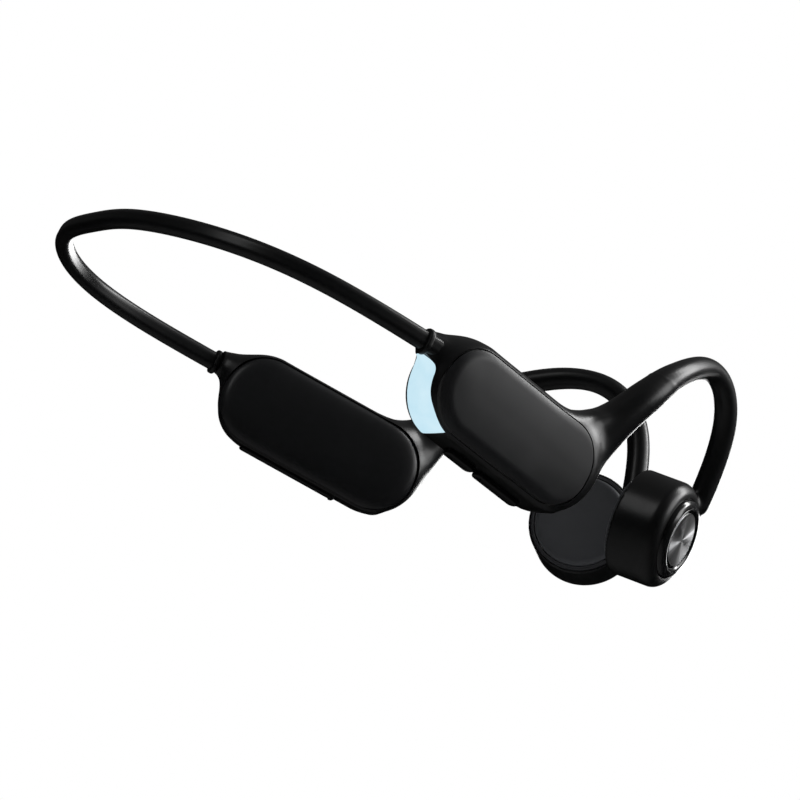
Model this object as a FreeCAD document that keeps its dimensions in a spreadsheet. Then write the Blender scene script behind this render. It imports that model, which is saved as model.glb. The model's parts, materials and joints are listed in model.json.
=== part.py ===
import FreeCAD, Part
import math
import os

import Sketcher
from FreeCAD import Placement, Rotation, Vector

# Bone conduction headphones: a springy neckband joins two pods, an ear hook rises from the
# front of each pod, and each hook ends in a round transducer that presses on the cheekbone.
#
# Frame: millimetres, +X to the front, +Y to the wearer's left, +Z up. The origin is at the
# middle of the underside. Shared pieces are drawn for the wearer's right (-Y) and mirrored.
#
# Three working frames are used:
#   pod frame         x along the pod to the front, z up, origin at the cover plate's centre
#   transducer frame  x along the axis, from the skin pad to the metal disc
#   headset frame     the part's own axes, origin midway between the two pods' centres

DIMENSIONS = {
    # where the working frames lie
    "headset_x": (8.235, "midpoint between the pods, from the part's origin"),
    "headset_z": (12.3, "height of the pods' centres"),
    "pod_y": (47.4, "pod centre to the middle plane"),
    "toe_angle": (14.6, "pods turned in at the front, degrees"),
    "transducer_x": (56.3, "pad rim centre in the headset frame"),
    "transducer_y": (11.6, "pad rim centre to the middle plane"),
    "transducer_z": (8.5, "pad rim centre above the pods' centres"),
    "transducer_angle": (48.3, "transducer axis from straight ahead, degrees"),
    # pod shell
    "pod_length": (52.4, "housing, front to back"),
    "pod_height": (23.6, "housing, top to bottom"),
    "pod_thickness": (12.0, "housing, inner face to outer face"),
    "pod_corner": (11.2, "corner radius of the outline"),
    "pod_edge": (3.2, "rounding of the long edges"),
    "pod_shift_x": (0.8, "housing centre ahead of the plate centre"),
    "pod_shift_z": (0.3, "housing centre above the plate centre"),
    "plate_length": (46.8, "outer cover plate"),
    "plate_height": (19.6, "outer cover plate"),
    "plate_corner": (9.1, "outer cover plate corners"),
    "plate_thickness": (1.2, "outer cover plate and inner panel"),
    "gasket_thickness": (0.5, "foam under the plate and the panel"),
    "seam_gap": (0.12, "gap round the plate and the panel"),
    "panel_inset": (1.2, "inner panel inside the housing's outline"),
    "cavity_length": (43.6, "inside of the pod"),
    "cavity_height": (16.6, "inside of the pod"),
    "cavity_corner": (7.4, "inside of the pod"),
    "shelf_opening": (37.0, "clear length between the two board shelves"),
    "shelf_thickness": (1.2, "board shelves"),
    # neckband
    "band_height": (4.45, "sleeve section"),
    "band_width": (3.5, "sleeve section"),
    "band_round": (1.65, "sleeve section corners"),
    "band_z": (4.07, "band at the collar, above the pods' centres"),
    "band_tilt": (2.55, "band falls towards the nape, degrees"),
    "wire_radius": (0.55, "spring wire"),
    "cable_radius": (0.5, "cable bundle"),
    "wire_offset": (0.95, "wire above the sleeve's centreline"),
    "bore_clearance": (0.03, "bores over the wire and the cable"),
    "collar_length": (1.5, "collar ring"),
    "collar_height": (6.0, "collar ring"),
    "collar_width": (5.0, "collar ring"),
    "collar_round": (2.3, "collar ring corners"),
    # ear hook
    "hook_radius": (2.6, "sleeve"),
    "root_top": (23.2, "where the housing's root ends and the sleeve starts"),
    # transducer, measured along its axis from the pad rim
    "barrel_radius": (12.7, "barrel outside"),
    "barrel_start": (0.3, "barrel rim on the skin side"),
    "barrel_end": (12.2, "barrel's outer face"),
    "barrel_shoulder": (2.8, "rounding of the outer shoulder"),
    "barrel_wall": (1.4, "barrel side wall"),
    "barrel_face": (2.3, "barrel end wall"),
    "ring_outer": (9.4, "trim ring"),
    "ring_inner": (6.75, "trim ring"),
    "ring_end": (13.8, "trim ring's outer face"),
    "ring_length": (3.0, "trim ring"),
    "disc_radius": (6.6, "metal disc"),
    "disc_end": (13.5, "metal disc's outer face"),
    "disc_thickness": (0.9, "metal disc"),
    "disc_travel": (0.3, "travel of the disc that is a button"),
    "pad_radius": (11.1, "skin pad"),
    "pad_crown": (1.6, "skin pad stands inwards of the rim plane"),
    "lip_outer": (12.2, "pad lip ring"),
    "magnet_radius": (6.4, "magnet"),
    "magnet_start": (4.4, "magnet, side next to the pad"),
    "magnet_length": (3.0, "magnet"),
    "yoke_radius": (8.7, "yoke cup"),
    "yoke_wall": (0.9, "yoke cup"),
    "coil_inner": (6.75, "voice coil"),
    "coil_outer": (7.45, "voice coil"),
    "spring_outer": (11.2, "suspension spring"),
    "spring_inner": (7.7, "suspension spring"),
    "spring_thickness": (0.3, "suspension spring"),
    # volume buttons on the right pod's underside
    "button_width": (3.0, "across the pod"),
    "button_shift": (1.3, "buttons, from the pod's middle towards the head"),
    "button_proud": (0.8, "stands out of the underside"),
    "button_travel": (0.35, "press depth"),
    "button_gap": (0.15, "clearance round the caps"),
    "rear_button_length": (9.0, "volume down"),
    "rear_button_x": (-4.4, "volume down"),
    "front_button_length": (14.4, "volume up"),
    "front_button_x": (8.1, "volume up"),
    "flange_thickness": (0.6, "retaining flange inside the wall"),
    "flange_lip": (0.7, "retaining flange beyond the cap, across the pod"),
    # light window in the right pod's rear end
    "window_skin": (1.5, "thickness of the window"),
    "window_top": (-2.0, "upper edge"),
    "window_front": (-15.0, "forward edge on the underside"),
    # charging port and its cover on the left pod's underside
    "port_x": (-7.0, "socket centre"),
    "port_length": (8.94, "socket shell"),
    "port_width": (3.26, "socket shell"),
    "port_depth": (7.0, "socket shell"),
    "port_wall": (0.3, "socket shell"),
    "cover_x": (-1.6, "port cover's centre"),
    "cover_length": (25.0, "port cover, from its free end to its hinge"),
    "cover_width": (5.0, "port cover"),
    "cover_thickness": (1.1, "port cover"),
    "cover_proud": (0.4, "port cover stands out of the underside"),
    "hinge_radius": (0.35, "hinge pin"),
    "knuckle_radius": (1.0, "hinge knuckle on the cover"),
}

# Hook centreline of the right side in the headset frame, from inside the pod to the barrel.
HOOK_ROUTE = [
    (20.4, -42.0, 3.0), (24.6, -41.6, 6.4), (27.1, -41.9, 16.2), (29.8, -42.4, 23.7),
    (34.4, -41.0, 32.0), (39.0, -37.6, 37.1), (44.4, -33.0, 41.5), (50.2, -28.3, 44.0),
    (56.0, -24.3, 43.6), (61.1, -21.3, 40.0), (64.8, -18.8, 33.5), (67.0, -16.8, 25.5),
    (68.1, -15.4, 17.5),
]
# Neckband centreline, left half from the neck to the nape, in the band's own plane.
BAND_ROUTE = [
    (-22.8, 54.3), (-36.5, 56.3), (-52.6, 56.4), (-71.1, 46.6),
    (-80.8, 33.1), (-85.4, 22.4), (-87.5, 12.2),
]
COLLAR_DISTANCE = 5.0     # from the band's end in the neck to the collar's middle
WIRE_REACH = 2.2          # the band's wire and cable run this much further into the pod
HOOK_CABLE_SHIFT = Vector(0.8, -1.0, 0.0)
LINE = Part.LineSegment


class Size:
    """A length with the spreadsheet expression that gives it."""

    def __init__(self, value, text):
        self.value = float(value)
        self.text = text

    def _join(self, other, sign, result):
        return Size(result, "(%s %s %s)" % (self.text, sign, size(other).text))

    def __add__(self, other):
        return self._join(other, "+", self.value + size(other).value)

    def __sub__(self, other):
        return self._join(other, "-", self.value - size(other).value)

    def __mul__(self, other):
        return self._join(other, "*", self.value * size(other).value)

    def __truediv__(self, other):
        return self._join(other, "/", self.value / size(other).value)

    def __neg__(self):
        return size(0) - self

    def __float__(self):
        return self.value


def size(number):
    """A plain number as a Size, and a Size as it is."""
    return number if isinstance(number, Size) else Size(number, "%.6g" % number)


class Sheet:
    """The spreadsheet of driving dimensions; sheet.alias is a Size."""

    def __init__(self, doc, table):
        cells = doc.addObject("Spreadsheet::Sheet", "Sizes")
        for row, (alias, (value, note)) in enumerate(table.items(), start=1):
            cells.set("A%d" % row, alias.replace("_", " "))
            cells.set("B%d" % row, str(value))
            cells.setAlias("B%d" % row, alias)
            cells.set("C%d" % row, note)
            setattr(self, alias, Size(value, "Sizes." + alias))


doc = FreeCAD.newDocument("Headphones")
s = Sheet(doc, DIMENSIONS)
doc.recompute()


# ---- placements ------------------------------------------------------------------------

def bind(item, prop, length):
    """Ties one property of an object to the spreadsheet."""
    item.setExpression(prop, size(length).text)


def place(item, frame, x=0, y=0, z=0):
    """Puts an object at x, y, z of a working frame of the right-hand side."""
    x, y, z = size(x), size(y), size(z)
    turn = {"pod": s.toe_angle, "transducer": -s.transducer_angle, "headset": size(0)}[frame]
    base = {
        "pod": (s.headset_x, -s.pod_y, s.headset_z),
        "transducer": (s.headset_x + s.transducer_x, -s.transducer_y,
                       s.headset_z + s.transducer_z),
        "headset": (s.headset_x, size(0), s.headset_z),
    }[frame]
    cosine = "cos(%s * 1 deg)" % turn.text
    sine = "sin(%s * 1 deg)" % turn.text
    angle = math.radians(turn.value)
    item.Placement = Placement(
        Vector(base[0].value + x.value * math.cos(angle) - y.value * math.sin(angle),
               base[1].value + x.value * math.sin(angle) + y.value * math.cos(angle),
               base[2].value + z.value),
        Rotation(Vector(0, 0, 1), turn.value))
    item.setExpression("Placement.Base.x", "%s + %s * %s - %s * %s" % (
        base[0].text, x.text, cosine, y.text, sine))
    item.setExpression("Placement.Base.y", "%s + %s * %s + %s * %s" % (
        base[1].text, x.text, sine, y.text, cosine))
    item.setExpression("Placement.Base.z", "%s + %s" % (base[2].text, z.text))
    item.setExpression("Placement.Rotation.Angle", "%s * 1 deg" % turn.text)
    return item


def new_body(label, frame, x=0, y=0, z=0):
    """An empty body in a working frame."""
    body = doc.addObject("PartDesign::Body", label)
    return place(body, frame, x, y, z)


def new_sketch(body, name, plane, offset=0):
    """A sketch on one of the body's own origin planes, moved along its normal."""
    sketch = body.newObject("Sketcher::SketchObject", name)
    support = [f for f in body.Origin.OriginFeatures if f.Role == plane][0]
    sketch.AttachmentSupport = (support, [""])
    sketch.MapMode = "FlatFace"
    offset = size(offset)
    sketch.AttachmentOffset = Placement(Vector(0, 0, offset.value), Rotation())
    bind(sketch, "AttachmentOffset.Base.z", offset)
    return sketch


# ---- sketch outlines -------------------------------------------------------------------

def dimension(sketch, kind, *references):
    """Adds a dimension whose last argument is a Size."""
    value = size(references[-1])
    index = sketch.addConstraint(
        Sketcher.Constraint(kind, *references[:-1], value.value))
    sketch.setExpression("Constraints[%d]" % index, value.text)


def rounded_rectangle(sketch, length, height, radius, x=0, y=0):
    """A rectangle with round corners, centred on x, y."""
    length, height, radius, x, y = [size(v) for v in (length, height, radius, x, y)]
    half_l, half_h, r = length.value / 2, height.value / 2, radius.value
    left, right = x.value - half_l, x.value + half_l
    low, high = y.value - half_h, y.value + half_h
    up = Vector(0, 0, 1)
    first = sketch.GeometryCount
    sketch.addGeometry([
        LINE(Vector(left + r, low, 0), Vector(right - r, low, 0)),
        LINE(Vector(right, low + r, 0), Vector(right, high - r, 0)),
        LINE(Vector(right - r, high, 0), Vector(left + r, high, 0)),
        LINE(Vector(left, high - r, 0), Vector(left, low + r, 0)),
    ], False)
    quarter = math.pi / 2
    centres = [(right - r, low + r), (right - r, high - r), (left + r, high - r),
               (left + r, low + r)]
    for corner, (cx, cy) in enumerate(centres):
        circle = Part.Circle(Vector(cx, cy, 0), up, r)
        start = (corner - 1) * quarter
        sketch.addGeometry(Part.ArcOfCircle(circle, start, start + quarter), False)
    for corner in range(4):
        arc = first + 4 + corner
        sketch.addConstraint(
            Sketcher.Constraint("Tangent", first + corner, 2, arc, 1))
        sketch.addConstraint(
            Sketcher.Constraint("Tangent", arc, 2, first + (corner + 1) % 4, 1))
    for side, kind in enumerate(("Horizontal", "Vertical", "Horizontal", "Vertical")):
        sketch.addConstraint(Sketcher.Constraint(kind, first + side))
    for corner in range(1, 4):
        sketch.addConstraint(Sketcher.Constraint("Equal", first + 4, first + 4 + corner))
    dimension(sketch, "Radius", first + 4, radius)
    dimension(sketch, "DistanceX", first + 3, 1, first + 1, 1, length)
    dimension(sketch, "DistanceY", first, 1, first + 2, 1, height)
    dimension(sketch, "DistanceX", -1, 1, first + 3, 1, x - length / 2)
    dimension(sketch, "DistanceY", -1, 1, first, 1, y - height / 2)


def circle(sketch, radius, x=0, y=0):
    """A circle centred on x, y."""
    radius, x, y = size(radius), size(x), size(y)
    centre = Vector(x.value, y.value, 0)
    index = sketch.addGeometry(Part.Circle(centre, Vector(0, 0, 1), radius.value), False)
    dimension(sketch, "Radius", index, radius)
    dimension(sketch, "DistanceX", -1, 1, index, 3, x)
    dimension(sketch, "DistanceY", -1, 1, index, 3, y)


def polygon(sketch, points):
    """A closed outline through points, each a pair of Sizes."""
    points = [(size(a), size(b)) for a, b in points]
    corners = [Vector(a.value, b.value, 0) for a, b in points]
    count = len(points)
    for i in range(count):
        sketch.addGeometry(LINE(corners[i], corners[(i + 1) % count]), False)
    for i in range(count):
        sketch.addConstraint(Sketcher.Constraint("Coincident", i, 2, (i + 1) % count, 1))
    for i, (a, b) in enumerate(points):
        dimension(sketch, "DistanceX", -1, 1, i, 1, a)
        dimension(sketch, "DistanceY", -1, 1, i, 1, b)


# ---- features --------------------------------------------------------------------------

def pad(body, sketch, length, reverse=False, symmetric=False):
    """Pads a sketch by a length, along its normal unless reversed."""
    feature = body.newObject("PartDesign::Pad", "Pad_" + sketch.Name)
    feature.Profile = sketch
    feature.SideType = "Symmetric" if symmetric else "One side"
    feature.Reversed = reverse
    bind(feature, "Length", length)
    body.Tip = feature
    doc.recompute()
    return feature


def pocket(body, sketch, length, reverse=False):
    """Cuts a sketch to a depth, against its normal unless reversed."""
    before = body.Shape.Volume
    feature = body.newObject("PartDesign::Pocket", "Pocket_" + sketch.Name)
    feature.Profile = sketch
    feature.Reversed = reverse
    bind(feature, "Length", length)
    body.Tip = feature
    doc.recompute()
    if not body.Shape.Volume < before:
        raise RuntimeError("pocket %s cuts nothing" % feature.Name)
    return feature


def revolve(body, sketch):
    """Turns a sketch about its own horizontal axis, which is the transducer's axis."""
    feature = body.newObject("PartDesign::Revolution", "Turn_" + sketch.Name)
    feature.Profile = sketch
    feature.ReferenceAxis = (sketch, ["H_Axis"])
    feature.Angle = 360
    body.Tip = feature
    doc.recompute()
    return feature


def fillet(body, base, edges, radius):
    """Rounds the named edges of a feature."""
    feature = body.newObject("PartDesign::Fillet", "Round_" + base.Name)
    feature.Base = (base, edges)
    bind(feature, "Radius", radius)
    body.Tip = feature
    doc.recompute()
    return feature


def edges_where(shape, test):
    """Names of the edges whose vertices and middle all pass a test."""
    names = []
    for index, edge in enumerate(shape.Edges, start=1):
        points = [v.Point for v in edge.Vertexes] + [edge.CenterOfMass]
        if all(test(p) for p in points):
            names.append("Edge%d" % index)
    return names


def prism(label, outlines, start, length, plane="XZ_Plane", frame="pod", x=0, y=0, z=0):
    """A body padded from one sketch: outlines are (function, arguments) pairs."""
    body = new_body(label, frame, x, y, z)
    sketch = new_sketch(body, label + "_outline", plane, start)
    for draw, arguments in outlines:
        draw(sketch, *arguments)
    pad(body, sketch, length)
    return body


def box(name, frame, low, high):
    """A box between two corners of a working frame."""
    item = doc.addObject("Part::Box", name)
    low, high = [size(v) for v in low], [size(v) for v in high]
    for prop, a, b in zip(("Length", "Width", "Height"), low, high):
        bind(item, prop, b - a)
    return place(item, frame, *low)


def combine(kind, label, shapes):
    """A boolean of the shapes: the first is the base of a Cut."""
    item = doc.addObject("Part::" + kind, label)
    if kind == "Cut":
        item.Base, item.Tool = shapes
    else:
        item.Shapes = shapes
    doc.recompute()
    return item


def fuse(label, shapes):
    return combine("MultiFuse", label, shapes)


def common(label, shapes):
    return combine("MultiCommon", label, shapes)


def cut(label, base, tools):
    """The base with all the tools taken away."""
    tool = tools[0] if len(tools) == 1 else fuse(label + "_tools", tools)
    return combine("Cut", label, (base, tool))


def mirror(source, label):
    """The same piece for the other side of the head."""
    item = doc.addObject("Part::Mirroring", label)
    item.Source = source
    item.Normal = (0, 1, 0)
    item.Base = (0, 0, 0)
    doc.recompute()
    return item


# ---- routes ----------------------------------------------------------------------------

def route_wire(name, points):
    """Straight runs joined by tangent arcs, each as large as its two runs allow."""
    reach = 0.45
    edges = []
    start = points[0]
    last = len(points) - 2
    for i in range(1, len(points) - 1):
        corner, before, after = points[i], points[i - 1], points[i + 1]
        back = (before - corner).normalize()
        ahead = (after - corner).normalize()
        room_back = corner.distanceToPoint(before) * (1.9 if i == 1 else 1.0)
        room_ahead = corner.distanceToPoint(after) * (1.9 if i == last else 1.0)
        tangent = reach * min(room_back, room_ahead)
        half_turn = back.getAngle(ahead) / 2
        middle = (back + ahead).normalize()
        radius = tangent * math.tan(half_turn)
        centre = corner + middle * (tangent / math.cos(half_turn))
        arc_start, arc_end = corner + back * tangent, corner + ahead * tangent
        edges.append(LINE(start, arc_start).toShape())
        edges.append(Part.Arc(arc_start, centre - middle * radius, arc_end).toShape())
        start = arc_end
    edges.append(LINE(start, points[-1]).toShape())
    wire = doc.addObject("Part::Feature", name)
    wire.Shape = Part.Wire(edges)
    return wire


def facing(position, direction, upward):
    """A placement whose z axis is the direction and whose y axis leans upward."""
    side = upward.cross(direction)
    return Placement(position, Rotation(side, upward, direction, "ZXY"))


def sweep(name, section, spine):
    """A solid swept along every edge of a route."""
    item = doc.addObject("Part::Sweep", name)
    item.Sections = [section]
    item.Spine = (spine, ["Edge%d" % (i + 1) for i in range(len(spine.Shape.Edges))])
    item.Solid = True
    item.Frenet = False
    doc.recompute()
    return item


def rod(name, spine, start, radius):
    """A round rod swept along a route that starts at a placement."""
    section = doc.addObject("Part::Circle", name + "_section")
    bind(section, "Radius", radius)
    section.Placement = start
    return sweep(name, section, spine)


headset_origin = Vector(s.headset_x.value, 0, s.headset_z.value)


def hook_points():
    """The hook's route in the part's frame."""
    return [headset_origin + Vector(*p) for p in HOOK_ROUTE]


def band_points(inward=0.0, rise=0.0):
    """The whole neckband route, longer at both ends by inward and raised by rise."""
    tilt = Rotation(Vector(0, 1, 0), -s.band_tilt.value)
    collar_x = BAND_ROUTE[0][0] - COLLAR_DISTANCE
    pivot = Vector(collar_x, 0, s.band_z.value)
    half = [Vector(x, y, 0) for x, y in BAND_ROUTE]
    half[0] = half[0] + (half[0] - half[1]).normalize() * inward
    half = [headset_origin + pivot + tilt.multVec(p - Vector(collar_x, 0, -rise))
            for p in half]
    other = [Vector(p.x, -p.y, p.z) for p in half]
    return other + half[::-1]


# ---- neckband --------------------------------------------------------------------------

def band_start(points):
    """The placement at the band's right-hand end, z along the route."""
    tilt = Rotation(Vector(0, 1, 0), -s.band_tilt.value)
    direction = (points[1] - points[0]).normalize()
    return facing(points[0], direction, tilt.multVec(Vector(0, 0, 1)))


def make_neckband():
    """The sleeve with its two bores, the spring wire and the cable between the pods."""
    points = band_points()
    spine = route_wire("band_route", points)
    section = doc.addObject("Sketcher::SketchObject", "band_section")
    rounded_rectangle(section, s.band_width, s.band_height, s.band_round)
    section.Placement = band_start(points)
    sleeve = sweep("band_outside", section, spine)
    bores = []
    cores = (("wire", s.wire_radius, s.wire_offset.value),
             ("cable", s.cable_radius, -s.wire_offset.value))
    for name, radius, rise in cores:
        points = band_points(WIRE_REACH, rise)
        spine = route_wire("band_%s_route" % name, points)
        start = band_start(points)
        rod("neckband_" + name, spine, start, radius)
        bores.append(rod("band_%s_bore" % name, spine, start, radius + s.bore_clearance))
    cut("neckband_sleeve", sleeve, bores)
    return bores


def make_collar():
    """The rubber ring round the band's end, with the neck's socket and the space behind it."""
    points = band_points()
    start = band_start(points)
    body = doc.addObject("PartDesign::Body", "right_neck_collar")
    sketch = new_sketch(body, "collar_outline", "XY_Plane",
                        size(COLLAR_DISTANCE) - s.collar_length / 2)
    rounded_rectangle(sketch, s.collar_width, s.collar_height, s.collar_round)
    play = s.bore_clearance * 2
    rounded_rectangle(sketch, s.band_width + play, s.band_height + play, s.band_round)
    pad(body, sketch, s.collar_length)
    body.Placement = start
    mirror(body, "left_neck_collar")
    socket = doc.addObject("PartDesign::Body", "neck_socket")
    sketch = new_sketch(socket, "socket_outline", "XY_Plane")
    rounded_rectangle(sketch, s.band_width + play, s.band_height + play, s.band_round)
    pad(socket, sketch, size(2 * COLLAR_DISTANCE))
    socket.Placement = start
    behind = doc.addObject("PartDesign::Body", "behind_collar")
    sketch = new_sketch(behind, "behind_outline", "XY_Plane",
                        size(COLLAR_DISTANCE) - s.collar_length / 2)
    rounded_rectangle(sketch, 14, 14, 2)
    pad(behind, sketch, 12)
    behind.Placement = start
    return socket, behind


# ---- pod housing -----------------------------------------------------------------------
# In the right pod's frame the outer side faces -y. Offsets of sketches on the XZ plane run
# along -y, so a positive offset is towards the outer side.

def loft(name, sections, frame):
    """A solid through ellipses, each given as (centre, radii, plane)."""
    ellipses = []
    for index, (centre, radii, upright) in enumerate(sections):
        item = doc.addObject("Part::Ellipse", "%s_section%d" % (name, index))
        bind(item, "MajorRadius", radii[0])
        bind(item, "MinorRadius", radii[1])
        place(item, frame, *centre)
        if upright:
            # the ellipse stands across the pod with its long axis up
            frame_turn = item.Placement.Rotation
            item.setExpression("Placement.Rotation.Angle", None)
            stand = Rotation(Vector(0, 0, 1), Vector(0, 1, 0), Vector(1, 0, 0), "ZXY")
            item.Placement = Placement(item.Placement.Base, frame_turn.multiply(stand))
        ellipses.append(item)
    item = doc.addObject("Part::Loft", name)
    item.Sections = ellipses
    item.Solid = True
    doc.recompute()
    return item


def make_blank(behind):
    """The outside of the right housing, pod, neck and hook root in one solid, and the root."""
    body = new_body("pod_block", "pod")
    sketch = new_sketch(body, "pod_outline", "XZ_Plane")
    rounded_rectangle(sketch, s.pod_length, s.pod_height, s.pod_corner,
                      s.pod_shift_x, s.pod_shift_z)
    block = pad(body, sketch, s.pod_thickness, symmetric=True)
    half = s.pod_thickness.value / 2 - 0.01
    rims = edges_where(block.Shape, lambda p: abs(p.y) > half)
    fillet(body, block, rims, s.pod_edge)
    # section centres, radii (long, short): x from the collar to the pod
    neck = loft("pod_neck", [
        ((-27.9, -0.7, 4.1), (3.2, 2.8), True),
        ((-25.2, -0.6, 4.1), (4.2, 3.3), True),
        ((-22.0, -0.4, 3.4), (6.4, 4.3), True),
        ((-17.0, 0.0, 2.4), (9.0, 5.0), True),
    ], "pod")
    root = loft("hook_root", [
        ((17.5, -0.4, 0.0), (9.2, 4.6), False),
        ((20.3, -0.6, 6.0), (8.6, 4.6), False),
        ((22.6, -0.9, 11.5), (7.5, 4.4), False),
        ((26.7, -1.5, 17.3), (5.2, 4.0), False),
        ((29.9, -2.4, s.root_top), (4.3, 3.7), False),
        ((33.1, -2.7, 29.0), (3.6, 3.2), False),
    ], "pod")
    above_root = box("above_root", "headset", (0, -60, s.root_top), (60, -20, 60))
    whole = fuse("pod_whole", [body, neck, root])
    return cut("pod_blank", whole, [behind, above_root]), root


def panel_outline(play):
    """The inner panel's outline, with play all round it."""
    inset = (s.panel_inset - play) * 2
    return (rounded_rectangle, (s.pod_length - inset, s.pod_height - inset,
                                s.pod_corner - inset / 2, s.pod_shift_x, s.pod_shift_z))


def make_recesses():
    """The rebates that the outer plate and the inner panel sit in, with their gaskets."""
    depth = s.plate_thickness + s.gasket_thickness
    face = s.pod_thickness / 2
    gap = s.seam_gap * 2
    outer = prism("outer_recess", [
        (rounded_rectangle, (s.plate_length + gap, s.plate_height + gap,
                             s.plate_corner + s.seam_gap))], face - depth, depth + 1)
    inner = prism("inner_recess", [panel_outline(s.seam_gap)], -face - 1, depth + 1)
    return [outer, inner]


def make_covers(blank):
    """Outer cover plate, inner panel and their gaskets."""
    face = s.pod_thickness / 2
    outline = (rounded_rectangle, (s.plate_length, s.plate_height, s.plate_corner))
    opening = (rounded_rectangle, (s.cavity_length, s.cavity_height, s.cavity_corner))
    pieces = (
        ("outer_cover_plate", [outline], face - s.plate_thickness, s.plate_thickness),
        ("outer_cover_gasket", [outline, opening],
         face - s.plate_thickness - s.gasket_thickness, s.gasket_thickness),
        ("inner_cover_gasket", [outline, opening],
         -face + s.plate_thickness, s.gasket_thickness),
    )
    for name, outlines, start, thickness in pieces:
        right = prism("right_" + name, outlines, start, thickness)
        mirror(right, "left_" + name)
    slab = prism("panel_slab", [panel_outline(0)], -face, s.plate_thickness)
    right = common("right_inner_cover_panel", [blank, slab])
    mirror(right, "left_inner_cover_panel")


def make_cavity():
    """The inside of the pod, with a shelf at each end for the board."""
    cavity = (rounded_rectangle, (s.cavity_length, s.cavity_height, s.cavity_corner))
    opening = (rounded_rectangle, (s.shelf_opening, s.cavity_height, s.cavity_corner))
    shelf_face = size(0.3)
    reach = s.pod_thickness / 2 + 1
    outer = prism("cavity_outer", [cavity], shelf_face, reach)
    inner = prism("cavity_inner", [cavity], -reach, reach - s.shelf_thickness + shelf_face)
    middle = prism("cavity_middle", [opening], -reach, reach * 2)
    holes = prism("shelf_screw_holes", [(circle, (0.5, 19.6, 0)), (circle, (0.5, -19.6, 0))],
                  -2, 3)
    return [outer, inner, middle, holes]


def button_outline(length, width, x):
    """A stadium-like cap outline on the XY plane."""
    return (rounded_rectangle, (length, width, width * 0.45, x, s.button_shift))


def underside():
    return s.pod_shift_z - s.pod_height / 2


def make_buttons():
    """Volume caps with retaining flanges, their switches and the strip board."""
    floor = -s.cavity_height / 2
    tools = []
    caps = (("volume_down", s.rear_button_length, s.rear_button_x),
            ("volume_up", s.front_button_length, s.front_button_x))
    for name, length, x in caps:
        body = new_body(name + "_button", "pod")
        cap = new_sketch(body, name + "_cap", "XY_Plane", underside() - s.button_proud)
        draw, arguments = button_outline(length, s.button_width, x)
        draw(cap, *arguments)
        height = floor - underside() + s.button_proud
        base = pad(body, cap, height)
        bottom = cap.AttachmentOffset.Base.z + 0.01
        fillet(body, base, edges_where(base.Shape, lambda p: p.z < bottom), 0.35)
        flange = new_sketch(body, name + "_flange", "XY_Plane", floor)
        draw, arguments = button_outline(length - 1.5, s.button_width + s.flange_lip * 2, x)
        draw(flange, *arguments)
        pad(body, flange, s.flange_thickness)
        gap = s.button_gap * 2
        tools.append(prism(name + "_opening",
                           [button_outline(length + gap, s.button_width + gap, x)],
                           underside() - 1, height + 1.3, "XY_Plane"))
    switch_gap = size(0.1)
    plunger = floor + s.flange_thickness + s.button_travel + switch_gap
    for name, x in (("volume_down", s.rear_button_x), ("volume_up", s.front_button_x)):
        body = new_body(name + "_switch", "pod")
        tip = new_sketch(body, name + "_plunger", "XY_Plane", plunger)
        circle(tip, 0.7, x, s.button_shift)
        pad(body, tip, 0.4)
        case = new_sketch(body, name + "_case", "XY_Plane", plunger + 0.3)
        rounded_rectangle(case, 3.6, 2.9, 0.3, x, s.button_shift)
        pad(body, case, 1.1)
    board = (rounded_rectangle, (20.0, 4.0, 0.8, 2.0, s.button_shift))
    prism("button_board", [board], plunger + 1.4, 0.6, "XY_Plane")
    return tools


def make_right_electronics():
    """Main board with its chips, the board screws, the microphone and the light."""
    board_face = size(0.3)
    board = new_body("board_panel", "pod")
    outline = new_sketch(board, "board_outline", "XZ_Plane", board_face)
    rounded_rectangle(outline, 41.6, 9.4, 4.0, 0, 2.2)
    circle(outline, 0.6, 19.6, 0)
    circle(outline, 0.6, -19.6, 0)
    pad(board, outline, 0.8)
    chips = new_sketch(board, "chip_outlines", "XZ_Plane", board_face + 0.8)
    for x, z, wide, tall in ((-6, 2.5, 7, 7), (5, 3.0, 5, 5), (13, 3.5, 4, 3)):
        rounded_rectangle(chips, wide, tall, 0.3, x, z)
    pad(board, chips, 0.9)
    board.Label = "main_board"
    make_screws("right_board_screws", board_face + 0.8, False)
    prism("microphone", [(rounded_rectangle, (3.5, 2.6, 0.3, -4, 0))],
          s.cavity_height / 2 - 1.1, 1.0, "XY_Plane")
    port = prism("microphone_port", [(circle, (0.5, -4, 0))],
                 s.cavity_height / 2 - 0.5, 6, "XY_Plane")
    return [port]


def make_screws(label, head_face, inner_side):
    """Two small screws that hold a board on the shelves, one group of solids."""
    parts = []
    for index, x in enumerate((19.6, -19.6)):
        for piece, radius, low, high in (("head", 0.95, 0.0, 0.5), ("shank", 0.45, -1.6, 0.0)):
            item = doc.addObject("Part::Cylinder", "%s_%s%d" % (label, piece, index))
            bind(item, "Radius", radius)
            bind(item, "Height", high - low)
            sign = 1 if inner_side else -1
            y = sign * (float(head_face) + low)
            place(item, "pod", x, y, 0)
            lay = Rotation(Vector(1, 0, 0), -90 * sign)
            item.setExpression("Placement.Rotation.Angle", None)
            item.Placement = Placement(item.Placement.Base,
                                       item.Placement.Rotation.multiply(lay))
            parts.append(item)
    pairs = [fuse("%s_%d" % (label, k), parts[2 * k:2 * k + 2]) for k in range(2)]
    group = doc.addObject("Part::Compound", label)
    group.Links = pairs
    doc.recompute()
    return group


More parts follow.
